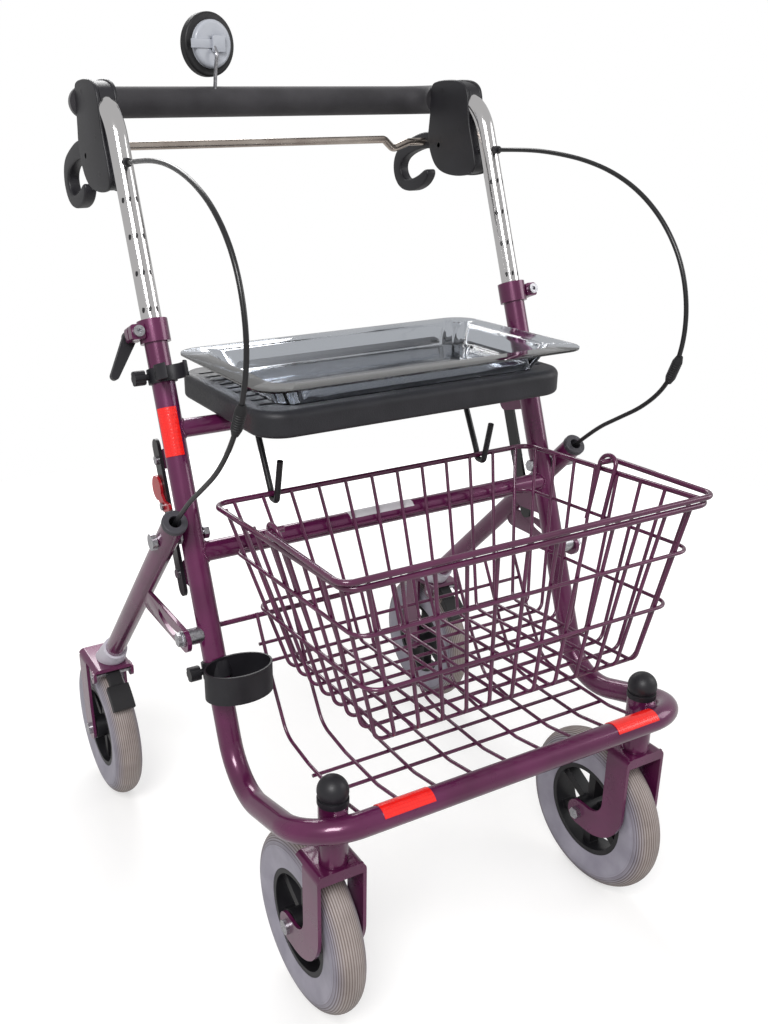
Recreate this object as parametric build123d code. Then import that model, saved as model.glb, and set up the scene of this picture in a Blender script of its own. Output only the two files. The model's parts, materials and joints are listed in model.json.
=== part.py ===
"""Four-wheeled walking frame (rollator) with seat, tray, wire basket and one-hand brake.

Frame: +Z up, the front faces -Y, origin on the floor under the middle of the object.
"left" and "right" are the user's, who stands behind it and looks along -Y, so left is +X.
All sizes are millimetres.
"""
from build123d import *
import os
from math import atan, cos, degrees, hypot, pi, radians, sin, tan

# ------------------------------------------------------------------ driving dimensions
# front frame: one bent tube, two legs joined by the front bar
LEG_X = 238.0                # half the spacing of the leg axes
LEG_LEAN = 20.3              # leg lean from the vertical, degrees
FRAME_OD = 25.4
FRAME_WALL = 1.6
BEND_Z = 220.0               # height of the corner between leg and forward run
BAR_Y = -319.5               # axis of the front bar
BAR_Z = 273.5
BAR_FLARE = 6.0              # each run spreads outward by this much on its way forward
LEG_BEND_R = 60.0
BAR_BEND_R = 57.0
COLLAR_Z = 691.0             # middle of the clamp collar on the leg
COLLAR_WALL = 3.8
COLLAR_H = 24.0

# rear legs, hinged on the front legs
PIVOT_Y = -48.0
PIVOT_Z = 486.0
REAR_LEAN = 44.7
LEG_GAP = 2.6                # gap between the front and rear leg tubes
REAR_TOP = 36.0              # rear leg length above the pivot
PIVOT_BOLT_D = 8.0
STOP_Z = 385.0               # height of the stop bolt that rides in the stay's slot
STAY_LENGTH = 116.0
STAY_WIDTH = 25.0
STAY_T = 5.0
FOLD_ANGLE = 38.0

# wheels
WHEEL_D = 200.0
TYRE_W = 38.0
RIM_D = 116.0
FRONT_WHEEL_X = 200.0
CASTER_TRAIL = 52.5          # front axle behind the caster's swivel axis
REAR_WHEEL_OUT = 6.0         # rear wheel outboard of the rear leg's axis
REAR_WHEEL_Y = 240.0
FORK_GAP = 48.0              # clear width between the arms of a fork
ARM_T = 4.0
ARM_W = 32.0
CROWN_Z = 215.0              # top of every fork crown
CROWN_T = 5.0
ARM_BEND_R = 38.0            # bend of the front fork's arms, on their middle line
SHOULDER_R = 9.0
LIP_T = 3.0
LIP_H = 13.0
AXLE_D = 8.0
BEARING_D = 22.0
BEARING_W = 7.0

# caster stems
STEM_TO_BAR = 3.8            # gap between the stem tube and the front bar
STEM_OD = 30.0
STEM_WALL = 2.5
STEM_TOP_Z = 284.0
STEM_GAP = 2.0               # gap between stem tube and fork crown
BALL_D = 32.0

# crossbars
UPPER_BAR_Z = 592.0
UPPER_BAR_D = 20.0
LOWER_BAR_Z = 466.0
LOWER_BAR_D = 22.0
CROSSBAR_WALL = 1.5

# handle
HANDLE_WALL = 1.5
HANDLE_Z = 920.0             # axis of the push bar
HANDLE_REACH = 132.46        # from the handle's bend back to the push bar
HANDLE_BOTTOM_Z = 590.0
HANDLE_BEND_R = 60.0
HANDLE_CORNER_R = 40.0
FOAM_OD = 35.0
SLIDE_FIT = 0.1              # radial gap between the handle tube and the leg bore
HOUSING_T = 24.0
HOUSING_GAP = 1.5            # the housing ends this far in front of the push bar's corner
LEVER_T = 15.0
LEVER_PIVOT_BACK = 69.46     # lever pivot behind the handle's bend
LEVER_PIVOT_DROP = 56.0      # lever pivot below the push bar
ROD_D = 9.5
ROD_FRONT = 21.0             # link rod in front of the push bar
ROD_DROP = 48.0              # link rod below the push bar
MIRROR_D = 72.0
MIRROR_X = -66.0
MIRROR_RISE = 64.0           # mirror centre above the push bar
MIRROR_TURN = 12.0           # degrees the mirror is turned about the vertical
STEM_WIRE_D = 4.5

# seat and tray
SEAT_HALF_W = 192.0
SEAT_FRONT_Y = -140.0
SEAT_BACK_Y = 96.0
SEAT_T = 28.0
SEAT_RISE = 2.0              # gap between upper crossbar and seat, filled by the saddles
TRAY_HALF_W = 200.0
TRAY_FRONT_Y = -160.0
TRAY_BACK_Y = 78.0
TRAY_DEPTH = 26.0
TRAY_WALL = 2.0
TRAY_FLANGE = 24.0
TRAY_TAPER = 14.0            # how far the tray's walls lean in over their depth
TRAY_CORNER_R = 30.0

# wire basket and its hooks
RIM_Y = -50.0                # rear wire of the rim, hanging in the hooks
RIM_Z = 515.5
BASKET_TILT = 3.0            # the front edge stands higher than the rear
BASKET_HALF_W = 212.0
BASKET_LENGTH = 287.2
BASKET_DEPTH = 173.0
BOTTOM_HALF_W = 168.0
BOTTOM_REAR = -52.0
BOTTOM_FRONT = -264.0
RIM_WIRE = 6.0
BASKET_WIRE = 4.0
RING_DEPTHS = (50.0, 110.0)
LONG_WIRES = 12
CROSS_WIRES = 8
WIRE_LAP = 0.05              # crossing wires are pressed into each other by this much
HOOK_X = 140.0
HOOK_WIRE = 7.0
BAIL_Y = -144.0              # bail pivot, measured from the rear rim wire
LOOP_WIRE = 5.0
LOOP_SPAN = 24.0
LOOP_RISE = 18.0

# lower shelf
SHELF_WIRE = 4.0
SHELF_TOP_WIRE = 6.0
SHELF_HALF_W = 178.0
SHELF_WIRES = 9
SHELF_Z = 264.0

# seat stays (flat bars behind the legs) and latch
STRIP_OFFSET = 50.0          # from the leg axis to the bar, square to the leg
STRIP_T = 4.0
STRIP_W = 18.0
STRIP_TOP_Z = 580.0
STRIP_BOTTOM_Z = 430.0
GUSSET_T = 4.0

# crutch holder
CUP_W = 76.0
CUP_DEPTH = 50.0
CUP_SHIFT = 12.0             # the cup's middle stands this far inboard of the leg
CUP_H = 33.0
CUP_Z = 348.0
CUP_WALL = 2.0
CLIP_Z = 647.0
CLIP_BORE = 28.0
CLIP_WALL = 3.5
CLIP_H = 16.0

# brake cables
CABLE_D = 5.0
SLEEVE_D = 11.0

# details
BOSS_W = 15.0
BOSS_L = 24.0
BOSS_H = 16.0
SCREW_D = 6.0
SCREW_TAIL = 16.0            # length of clamp screw behind the boss, inside the lever's hub
LEVER_ARM = 46.0
LATCH_Z = 518.0              # latch screw, level on the leg axis
LATCH_DISC_R = 14.0
LATCH_T = 3.0
CAP_BORE = 13.0
SHOE_T = 30.0                # width of the brake shoe across the tyre
SHOE_GAP = 2.0               # gap between shoe and tread when the brake is off
CABLE_EXIT_DROP = 61.0       # cable exit below the push bar
FERRULE_D = 7.0
FERRULE_FRONT = 20.0         # from the tube's axis to the front face of the ferrule
MIRROR_DEPTH = 13.0
JOINT_BALL_D = 9.0
SEAT_RIBS = 9
SADDLE_X = 100.0
WALL_SLANT = 1.03            # the walls lean, so wires side by side need this much more room across
SLEEVE_FROM = 9              # the rubber sleeve covers the run after this point of the route

# fits
PIN_FIT = 0.05               # radial clearance of pins and bolts that turn
SEAT_FIT = 0.02              # radial clearance of parts that are pushed on
FACE_GAP = 0.3               # gap between faces of different moving parts

SIDES = {"right": -1, "left": 1}

# ------------------------------------------------------------------ derived places
LEAN_SIN, LEAN_COS = sin(radians(LEG_LEAN)), cos(radians(LEG_LEAN))
REAR_SIN, REAR_COS = sin(radians(REAR_LEAN)), cos(radians(REAR_LEAN))
WHEEL_R = WHEEL_D / 2
FRAME_R = FRAME_OD / 2
REAR_LEG_X = LEG_X + FRAME_OD + LEG_GAP
REAR_WHEEL_X = REAR_LEG_X + REAR_WHEEL_OUT
STEM_X = FRONT_WHEEL_X
STEM_Y = BAR_Y + FRAME_R + STEM_OD / 2 + STEM_TO_BAR
FRONT_WHEEL_Y = STEM_Y + CASTER_TRAIL
COLLAR_OD = FRAME_OD + 2 * COLLAR_WALL
HANDLE_OD = FRAME_OD - 2 * FRAME_WALL - 2 * SLIDE_FIT
CROWN_BOTTOM_Z = CROWN_Z - CROWN_T


def leg_y(z):
    """Y of the front leg's axis at height z."""
    return PIVOT_Y + tan(radians(LEG_LEAN)) * (z - PIVOT_Z)


def rear_leg_y(z):
    """Y of the rear leg's axis at height z."""
    return PIVOT_Y - tan(radians(REAR_LEAN)) * (z - PIVOT_Z)


def behind_leg(z, distance):
    """(y, z) of the point `distance` behind the leg axis, square to it, level with z on the axis."""
    return leg_y(z) + distance * LEAN_COS, z - distance * LEAN_SIN


BEND_Y = leg_y(HANDLE_Z)
HANDLE_Y = BEND_Y + HANDLE_REACH
LEVER_PIVOT_Y, LEVER_PIVOT_Z = BEND_Y + LEVER_PIVOT_BACK, HANDLE_Z - LEVER_PIVOT_DROP
ROD_Y, ROD_Z = HANDLE_Y - ROD_FRONT, HANDLE_Z - ROD_DROP
CABLE_EXIT_Z = HANDLE_Z - CABLE_EXIT_DROP
MIRROR_Z = HANDLE_Z + MIRROR_RISE


def from_bend(*places):
    """Points given as (y, z) from the handle's bend."""
    return [(BEND_Y + y, HANDLE_Z + z) for y, z in places]


# ------------------------------------------------------------------ small helpers
def tube(points, radii, outer_r, inner_r=0.0):
    """A round bar or tube swept along straight runs joined by arcs."""
    path = FilletPolyline(*points, radius=radii) if len(points) > 2 else Line(*points)
    start = Plane(origin=path @ 0, z_dir=path % 0)
    body = sweep(start * Circle(outer_r), path=path)
    if inner_r:
        body -= sweep(start * Circle(inner_r), path=path)
    return body


def rod_x(radius, x_from, x_to, y, z):
    """A cylinder along X."""
    middle = Location(((x_from + x_to) / 2, y, z), (0, 90, 0))
    return middle * Cylinder(radius, abs(x_to - x_from))


def side_plate(face, x_from, x_to):
    """Extrudes a face drawn with (y, z) coordinates between two X values."""
    low, high = sorted((x_from, x_to))
    return extrude(Plane.YZ.offset(low) * face, high - low, dir=(1, 0, 0))


def ribbon(points, width, radius):
    """A flat strip with round ends along a path of (y, z) points."""
    path = FilletPolyline(*points, radius=radius) if len(points) > 2 else Line(*points)
    return make_face(offset(path, amount=width / 2, side=Side.BOTH, kind=Kind.ARC))


def disc(y, z, radius):
    """A round face at (y, z) for side_plate."""
    return Pos(y, z) * Circle(radius)


def hex_x(across_flats, x_from, x_to, y, z):
    """A hexagonal head or nut along X."""
    return side_plate(Pos(y, z) * RegularPolygon(across_flats / 2, 6, major_radius=False), x_from, x_to)


def mirrored(shape):
    """The same shape on the other side of the middle plane."""
    return mirror(shape, about=Plane.YZ)


def both_sides(shape):
    """The solids of a shape and of its mirror image, kept apart."""
    return solids_of(shape) + solids_of(mirrored(shape))


def solids_of(shape):
    """Flat list of the solids in a shape or a list of shapes."""
    items = shape if isinstance(shape, (list, tuple, ShapeList)) else [shape]
    return [solid for item in items for solid in item.solids()]


def largest(shape):
    """The biggest solid of a shape that a cut has left in pieces."""
    return max(shape.solids(), key=lambda solid: solid.volume)


def on_side(shape, side):
    """Places a shape modelled for the left (+X) on either side."""
    return shape if side > 0 else mirrored(shape)


def leg_plane(z, side=1):
    """Frame on the leg axis: local Z runs up the leg, local X points to +X."""
    return Plane(origin=(side * LEG_X, leg_y(z), z), x_dir=(1, 0, 0), z_dir=(0, LEAN_SIN, LEAN_COS))


def save(name, shape):
    """Writes one node as a STEP file."""
    solids = solids_of(shape)
    part = solids[0] if len(solids) == 1 else Compound(children=solids)
    export_step(part, f"parts/{name}.step")


# ------------------------------------------------------------------ front frame
def frame_path():
    top = behind_leg(COLLAR_Z, 0)
    rise = COLLAR_H / 2 - 2
    top = (LEG_X, top[0] + rise * LEAN_SIN, top[1] + rise * LEAN_COS)
    corner = (LEG_X, leg_y(BEND_Z), BEND_Z)
    front = (LEG_X + BAR_FLARE, BAR_Y, BAR_Z)
    half = [top, corner, front]
    return half + [(-x, y, z) for x, y, z in reversed(half)]


def front_frame():
    bends = [LEG_BEND_R, BAR_BEND_R, BAR_BEND_R, LEG_BEND_R]
    frame = tube(frame_path(), bends, FRAME_R, FRAME_R - FRAME_WALL)
    for side in SIDES.values():
        frame -= rod_x(PIVOT_BOLT_D / 2, side * (LEG_X - 30), side * (LEG_X + 30), PIVOT_Y, PIVOT_Z)
        frame -= rod_x(PIVOT_BOLT_D / 2, side * LEG_X, side * (LEG_X + 30), leg_y(STOP_Z), STOP_Z)
    return frame


def crossbar(z, diameter):
    """A straight tube between the legs, coped to fit them."""
    bar = rod_x(diameter / 2, -LEG_X, LEG_X, leg_y(z), z)
    bar -= rod_x(diameter / 2 - CROSSBAR_WALL, -LEG_X, LEG_X, leg_y(z), z)
    for side in SIDES.values():
        leg = leg_plane(z, side) * Cylinder(FRAME_R, 80)
        bar -= leg
    return largest(bar)


def caster_stems():
    bottom = CROWN_Z + STEM_GAP
    height = STEM_TOP_Z - bottom
    stem = Pos(STEM_X, STEM_Y, bottom + height / 2) * (
        Cylinder(STEM_OD / 2, height) - Cylinder(STEM_OD / 2 - STEM_WALL, height))
    bends = [LEG_BEND_R, BAR_BEND_R, BAR_BEND_R, LEG_BEND_R]
    web = Pos(STEM_X, (BAR_Y + STEM_Y) / 2, BAR_Z) * Box(12, STEM_Y - BAR_Y, 14)
    web -= tube(frame_path(), bends, FRAME_R)
    web -= Pos(STEM_X, STEM_Y, BAR_Z) * Cylinder(STEM_OD / 2 - STEM_WALL / 2, 40)
    return both_sides(stem + largest(web))


def ball_caps():
    ball = Pos(STEM_X, STEM_Y, STEM_TOP_Z + BALL_D * 0.42) * Sphere(BALL_D / 2)
    ball &= Pos(STEM_X, STEM_Y, STEM_TOP_Z + BALL_D / 2) * Box(60, 60, BALL_D)
    skirt = Pos(STEM_X, STEM_Y, STEM_TOP_Z + 3) * Cylinder(STEM_OD / 2 + 1, 6)
    plug = Pos(STEM_X, STEM_Y, STEM_TOP_Z - 6) * Cylinder(STEM_OD / 2 - STEM_WALL - SEAT_FIT, 12)
    return both_sides(ball + skirt + plug)


def collar(side):
    """Clamp collar on the top end of a leg, with an outboard boss for the clamp screw."""
    ring = Cylinder(COLLAR_OD / 2, COLLAR_H)
    boss = Pos(side * BOSS_X, 0, 0) * Box(BOSS_W, BOSS_L, BOSS_H)
    boss = fillet(boss.edges().filter_by(Axis.Y), 3)
    body = ring + boss
    body -= Pos(0, 0, -2) * Cylinder(FRAME_R + SEAT_FIT, COLLAR_H)
    body -= Cylinder(HANDLE_OD / 2 + SLIDE_FIT + 0.2, COLLAR_H)
    body -= Pos(side * BOSS_X, 0, 0) * Box(BOSS_W + 2, 2.5, BOSS_H + 2)
    body -= Pos(side * BOSS_X, 0, 0) * Rot(90, 0, 0) * Cylinder(SCREW_D / 2, BOSS_L + 2)
    return leg_plane(COLLAR_Z, side) * body


BOSS_X = COLLAR_OD / 2 + BOSS_W / 2 - 3


def collar_screw(side):
    length = BOSS_L + SCREW_TAIL
    shank = Pos(0, SCREW_TAIL / 2, 0) * Rot(90, 0, 0) * Cylinder(SCREW_D / 2, length)
    head = Pos(0, -BOSS_L / 2 - 2.5, 0) * Rot(90, 0, 0) * Cylinder(6, 5)
    head -= Pos(0, -BOSS_L / 2 - 4, 0) * Rot(90, 0, 0) * extrude(RegularPolygon(2.5, 6), 6, both=True)
    return leg_plane(COLLAR_Z, side) * (Pos(side * BOSS_X, 0, 0) * (shank + head))


def clamp_lever(side, arm_angle):
    """Cam lever on the tail of the clamp screw; arm_angle is from local +X towards local +Z."""
    hub_l = SCREW_TAIL - 2
    centre_y = BOSS_L / 2 + FACE_GAP + hub_l / 2
    reach = Pos(LEVER_ARM, 0) * Circle(4.5)
    outline = make_hull((Circle(7.5) + reach).edges())
    arm = Rot(0, -arm_angle, 0) * (Rot(90, 0, 0) * extrude(outline, 4, both=True))
    lever = Pos(0, centre_y, 0) * (Rot(90, 0, 0) * Cylinder(7.5, hub_l) + arm)
    lever -= Pos(0, centre_y, 0) * Rot(90, 0, 0) * Cylinder(SCREW_D / 2 + PIN_FIT, hub_l + 20)
    return leg_plane(COLLAR_Z, side) * (Pos(side * BOSS_X, 0, 0) * lever)


def leg_gussets():
    """Plates behind each leg that carry the flat stays."""
    plates = []
    for z, height in ((STRIP_TOP_Z - 14, 26), (STRIP_BOTTOM_Z + 16, 44)):
        reach = STRIP_OFFSET + STRIP_W / 2
        root = Pos(0, 0) * Rectangle(2 * FRAME_R, height)
        tip = Pos(reach - 10, 0) * Circle(10)
        plate = extrude(make_hull((root + tip).edges()), GUSSET_T / 2, both=True)
        plate -= Cylinder(FRAME_R, 200, rotation=(90, 0, 0))
        plate &= Pos(100, 0, 0) * Box(200, 200, 20)
        turned = Plane(origin=(LEG_X, leg_y(z), z), x_dir=(0, LEAN_COS, -LEAN_SIN), z_dir=(1, 0, 0)) * plate
        plates += both_sides(turned)
    return plates


STRIP_X = LEG_X + GUSSET_T / 2 + 0.1


def strip_face(z_low, z_high, width):
    ends = [behind_leg(z, STRIP_OFFSET) for z in (z_low, z_high)]
    return ribbon([Vector(*end) for end in ends], width, 1)


def seat_stays():
    bar = side_plate(strip_face(STRIP_BOTTOM_Z, STRIP_TOP_Z, STRIP_W), STRIP_X, STRIP_X + STRIP_T)
    for y, z in strip_bolts():
        bar -= rod_x(3, STRIP_X - 1, STRIP_X + STRIP_T + 1, y, z)
    return both_sides(bar)


def strip_bolts():
    return [behind_leg(z, STRIP_OFFSET) for z in (STRIP_TOP_Z - 14, STRIP_BOTTOM_Z + 16)]


def latch_outline():
    """Red latch: a round tab above its screw and a short tail below it."""
    pivot = Vector(*behind_leg(LATCH_Z, STRIP_OFFSET))
    tab = Vector(*behind_leg(LATCH_Z + 20, STRIP_OFFSET + 12))
    tail = Vector(*behind_leg(LATCH_Z - 2, STRIP_OFFSET - 16))
    face = make_hull((disc(pivot.X, pivot.Y, 6.5) + disc(tab.X, tab.Y, 7)).edges())
    face += disc(tab.X, tab.Y, LATCH_DISC_R)
    face += make_hull((disc(pivot.X, pivot.Y, 6.5) + disc(tail.X, tail.Y, 4)).edges())
    return face


def latch():
    low = STRIP_X + STRIP_T + FACE_GAP
    body = side_plate(latch_outline(), low, low + LATCH_T)
    body -= rod_x(2.5 + PIN_FIT, low - 1, low + LATCH_T + 1, *behind_leg(LATCH_Z, STRIP_OFFSET))
    return mirrored(body)


def stay_screws():
    """Screws that hold the flat stays to the plates, and the one that the latch turns on."""
    low = LEG_X - GUSSET_T / 2 - 4
    outer = STRIP_X + STRIP_T
    screws = []
    for y, z in strip_bolts():
        screw = rod_x(3, STRIP_X - 0.1, outer, y, z) + rod_x(5, outer, outer + 3, y, z)
        screws += both_sides(screw)
    y, z = behind_leg(LATCH_Z, STRIP_OFFSET)
    face = outer + LATCH_T + 2 * FACE_GAP
    pin = rod_x(2.5, outer, face + 2, y, z) + rod_x(4.5, face, face + 2.4, y, z)
    return screws + solids_of(mirrored(pin))


# ------------------------------------------------------------------ rear legs
def rear_dir(distance):
    """(y, z) of a point on the rear leg, distance below the pivot."""
    return PIVOT_Y + distance * REAR_SIN, PIVOT_Z - distance * REAR_COS


def stay_bar():
    """Flat bar welded to the rear leg, with an arc slot about the leg pivot for the stop bolt."""
    start_y = leg_y(STOP_Z)
    slot_r = hypot(start_y - PIVOT_Y, STOP_Z - PIVOT_Z)
    sag = slot_r * (1 - cos(radians(FOLD_ANGLE / 2)))
    middle_z = STOP_Z - sag / 2
    face = ribbon([(start_y, middle_z), (start_y + STAY_LENGTH, middle_z)], STAY_WIDTH, 1)
    first = -90 - LEG_LEAN - 0.5
    arc = CenterArc((PIVOT_Y, PIVOT_Z), slot_r, first, FOLD_ANGLE + 2)
    slot = make_face(offset(arc, amount=PIVOT_BOLT_D / 2 + FACE_GAP, side=Side.BOTH, kind=Kind.ARC))
    return side_plate(face - slot, REAR_LEG_X - STAY_T / 2, REAR_LEG_X + STAY_T / 2)


def rear_leg(side):
    top = (REAR_LEG_X, *rear_dir(-REAR_TOP))
    bottom = (REAR_LEG_X, *rear_dir((PIVOT_Z - CROWN_Z) / REAR_COS + 30))
    outer = tube([top, bottom], None, FRAME_R)
    bore = tube([top, bottom], None, FRAME_R - FRAME_WALL)
    leg = outer + stay_bar()
    leg -= bore
    leg -= rod_x(PIVOT_BOLT_D / 2 + PIN_FIT, REAR_LEG_X - 30, REAR_LEG_X + 30, PIVOT_Y, PIVOT_Z)
    leg -= Pos(REAR_LEG_X, rear_leg_y(CROWN_Z), CROWN_Z - 100) * Box(120, 300, 200)
    return on_side(largest(leg), side)


def rear_cap(side):
    """Grey plug in the open top end of the rear leg, bored for the brake cable."""
    plane = Plane(origin=(REAR_LEG_X, *rear_dir(-REAR_TOP)), x_dir=(1, 0, 0), z_dir=(0, -REAR_SIN, REAR_COS))
    cap = Pos(0, 0, 3) * Cylinder(FRAME_R + 1, 6)
    cap += Pos(0, 0, -5) * Cylinder(FRAME_R - FRAME_WALL - SEAT_FIT, 10)
    cap = chamfer(cap.edges().group_by(Axis.Z)[-1], 1.2)
    cap -= Cylinder(CAP_BORE / 2, 60)
    return on_side(plane * cap, side)


def rear_sleeve(side):
    """White plastic boot between the rear leg and the fork crown."""
    length = 78.0
    low = rear_dir((PIVOT_Z - CROWN_Z) / REAR_COS)
    plane = Plane(origin=(REAR_LEG_X, *low), x_dir=(1, 0, 0), z_dir=(0, -REAR_SIN, REAR_COS))
    shell = plane * (Cone(23, 16, length, align=(Align.CENTER, Align.CENTER, Align.CENTER)))
    shell -= plane * Cylinder(FRAME_R + SEAT_FIT, 200)
    shell -= Pos(REAR_LEG_X, rear_leg_y(CROWN_Z), CROWN_Z - 100) * Box(120, 300, 200)
    return on_side(largest(shell), side)


def pivot_bolts():
    """Bolt, spacer and nut that the rear leg turns on."""
    outer = REAR_LEG_X + FRAME_R
    shank = rod_x(PIVOT_BOLT_D / 2, LEG_X - FRAME_R - 6, outer + FACE_GAP + 2, PIVOT_Y, PIVOT_Z)
    head = rod_x(9, outer + FACE_GAP, outer + 6, PIVOT_Y, PIVOT_Z)
    nut = hex_x(13, LEG_X - FRAME_R - 6, LEG_X - FRAME_R, PIVOT_Y, PIVOT_Z)
    spacer = rod_x(8, LEG_X + FRAME_R, LEG_X + FRAME_R + LEG_GAP - FACE_GAP, PIVOT_Y, PIVOT_Z)
    return both_sides(shank + head + nut + spacer)


def stop_bolts():
    """Bolt with a black bush on the front leg; the bolt rides in the slot of the stay bar."""
    y, z = leg_y(STOP_Z), STOP_Z
    inner = REAR_LEG_X - STAY_T / 2 - FACE_GAP
    outer = REAR_LEG_X + STAY_T / 2 + FACE_GAP
    bolt = rod_x(PIVOT_BOLT_D / 2, LEG_X + FRAME_R - FRAME_WALL, outer + 3, y, z)
    bolt += rod_x(9, outer, outer + 2, y, z) + hex_x(13, outer + 2, outer + 7, y, z)
    bush = rod_x(9, LEG_X + FRAME_R - 3, inner, y, z) - rod_x(PIVOT_BOLT_D / 2, LEG_X, inner + 1, y, z)
    bush -= leg_plane(STOP_Z) * Cylinder(FRAME_R, 80)
    return both_sides(bolt) + both_sides(bush)


# ------------------------------------------------------------------ wheels and forks
def place_wheel(x, y):
    return Pos(x, y, WHEEL_R)


def tyre(x, y):
    radial = WHEEL_R - RIM_D / 2
    corner_r = min(TYRE_W * 0.42, radial * 0.45)
    section = Pos(0, RIM_D / 2 + radial / 2) * RectangleRounded(TYRE_W, radial, corner_r)
    foot = Pos(0, RIM_D / 2 + radial / 6) * Rectangle(TYRE_W * 0.86, radial / 3)
    return place_wheel(x, y) * revolve(section + foot, Axis.X)


def rim(x, y):
    """Black spoked rim with its two bearings as separate solids."""
    rim_w, hub_w = TYRE_W * 0.8, FORK_GAP - 2 * FACE_GAP - 3
    outer_r = RIM_D / 2 - SEAT_FIT
    ring = Cylinder(outer_r, rim_w) - Cylinder(outer_r - 6, rim_w)
    body = ring + Cylinder(BEARING_D / 2 + 5, hub_w)
    spoke_l = outer_r - 3 - BEARING_D / 2
    for number in range(6):
        body += Rot(0, 0, 60 * number) * Pos(BEARING_D / 2 + spoke_l / 2, 0, 0) * Box(spoke_l, 11, rim_w * 0.5)
    body -= Cylinder(BEARING_D / 2 - 3, hub_w + 2)
    bearings = []
    for end in (-1, 1):
        seat = Pos(0, 0, end * (hub_w - BEARING_W) / 2)
        body -= seat * Cylinder(BEARING_D / 2, BEARING_W + 0.001)
        bearing = Cylinder(BEARING_D / 2 - SEAT_FIT, BEARING_W) - Cylinder(AXLE_D / 2 + PIN_FIT, BEARING_W)
        bearings.append(seat * bearing)
    turn = place_wheel(x, y) * Rot(0, 90, 0)
    return [turn * body] + [turn * bearing for bearing in bearings]


def rear_axle(side):
    """Rear wheel bolt, and the pin that the brake shoe turns on."""
    half = FORK_GAP / 2 + ARM_T
    pin = rod_x(3, REAR_WHEEL_X - half - 1, REAR_WHEEL_X + half + 1, *shoe_pivot())
    return [axle(side * REAR_WHEEL_X, REAR_WHEEL_Y, side), on_side(pin, side)]


def axle(x, y, outward):
    """Wheel bolt with a dome head outside, a nut inside and a spacer each side of the hub."""
    half = FORK_GAP / 2 + ARM_T
    hub_half = (FORK_GAP - 2 * FACE_GAP - 3) / 2
    bolt = rod_x(AXLE_D / 2, x - half - 3, x + half + 3, y, WHEEL_R)
    bolt += rod_x(8, x + outward * half, x + outward * (half + 4), y, WHEEL_R)
    bolt += hex_x(13, x - outward * half, x - outward * (half + 6), y, WHEEL_R)
    for end in (-1, 1):
        spacer_from, spacer_to = x + end * (hub_half + FACE_GAP), x + end * FORK_GAP / 2
        bolt += rod_x(6, spacer_from, spacer_to, y, WHEEL_R)
    return bolt


def fork(x, wheel_y, crown_front, crown_back, arm_path):
    """Pressed-steel fork: a crown with rounded shoulders and two arms to the axle."""
    width = FORK_GAP + 2 * ARM_T
    crown_l = crown_back - crown_front
    crown = Pos(x, crown_front + crown_l / 2, CROWN_Z - CROWN_T / 2) * Box(width, crown_l, CROWN_T)
    arm_top_y = arm_path[0][0]
    face = ribbon([Vector(*point) for point in arm_path], ARM_W, ARM_BEND_R)
    face += Pos(arm_top_y, CROWN_Z - ARM_W / 2) * Rectangle(ARM_W, ARM_W)
    face &= Pos(arm_top_y, CROWN_Z / 2) * Rectangle(400, CROWN_Z)
    body = crown
    for end in (-1, 1):
        inner = x + end * FORK_GAP / 2
        body += side_plate(face, inner, inner + end * ARM_T)
    outline = Pos(x, CROWN_Z / 2) * RectangleRounded(width, CROWN_Z, SHOULDER_R)
    body &= Plane.XZ * extrude(outline, 500, both=True)
    body -= rod_x(AXLE_D / 2, x - width, x + width, wheel_y, WHEEL_R)
    return body


def caster_fork(side):
    x = STEM_X
    arm_y = STEM_Y - 18 + ARM_W / 2
    path = [(arm_y, CROWN_Z - ARM_W / 2), (arm_y, WHEEL_R), (FRONT_WHEEL_Y, WHEEL_R)]
    body = fork(x, FRONT_WHEEL_Y, STEM_Y - 18, STEM_Y + 30, path)
    body += Pos(x, STEM_Y - 18 + LIP_T / 2, CROWN_Z - LIP_H / 2) * Box(FORK_GAP + 1, LIP_T, LIP_H - 1)
    race_h = STEM_GAP - FACE_GAP
    race = Pos(x, STEM_Y, CROWN_Z + race_h / 2) * Cylinder(STEM_OD / 2 - 1, race_h)
    spindle_top = STEM_TOP_Z - 14
    spindle = Pos(x, STEM_Y, (CROWN_Z + spindle_top) / 2)
    spindle *= Cylinder(STEM_OD / 2 - STEM_WALL - PIN_FIT, spindle_top - CROWN_Z)
    return on_side(body + race + spindle, side)


def rear_fork(side):
    foot_y = rear_leg_y(CROWN_Z)
    arm_y = foot_y + 44 - ARM_W / 2 - 4
    path = [(arm_y, CROWN_Z - ARM_W / 2), (arm_y, WHEEL_R + 38), (REAR_WHEEL_Y, WHEEL_R)]
    body = fork(REAR_WHEEL_X, REAR_WHEEL_Y, foot_y - 30, foot_y + 44, path)
    for end in (-1, 1):
        inner = REAR_WHEEL_X + end * FORK_GAP / 2
        pin_y, pin_z = shoe_pivot()
        ear = disc(pin_y, pin_z, 9)
        ear += Pos(pin_y, (pin_z + CROWN_BOTTOM_Z) / 2) * Rectangle(18, CROWN_BOTTOM_Z - pin_z)
        body += side_plate(ear, inner, inner + end * ARM_T)
    body -= rod_x(3, REAR_WHEEL_X - 40, REAR_WHEEL_X + 40, *shoe_pivot())
    return on_side(body, side)


# ------------------------------------------------------------------ rear brakes


def shoe_pivot():
    """(y, z) of the shoe's hinge pin, in front of the wheel under the crown."""
    return rear_leg_y(CROWN_Z) - 20, CROWN_Z - 13


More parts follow.
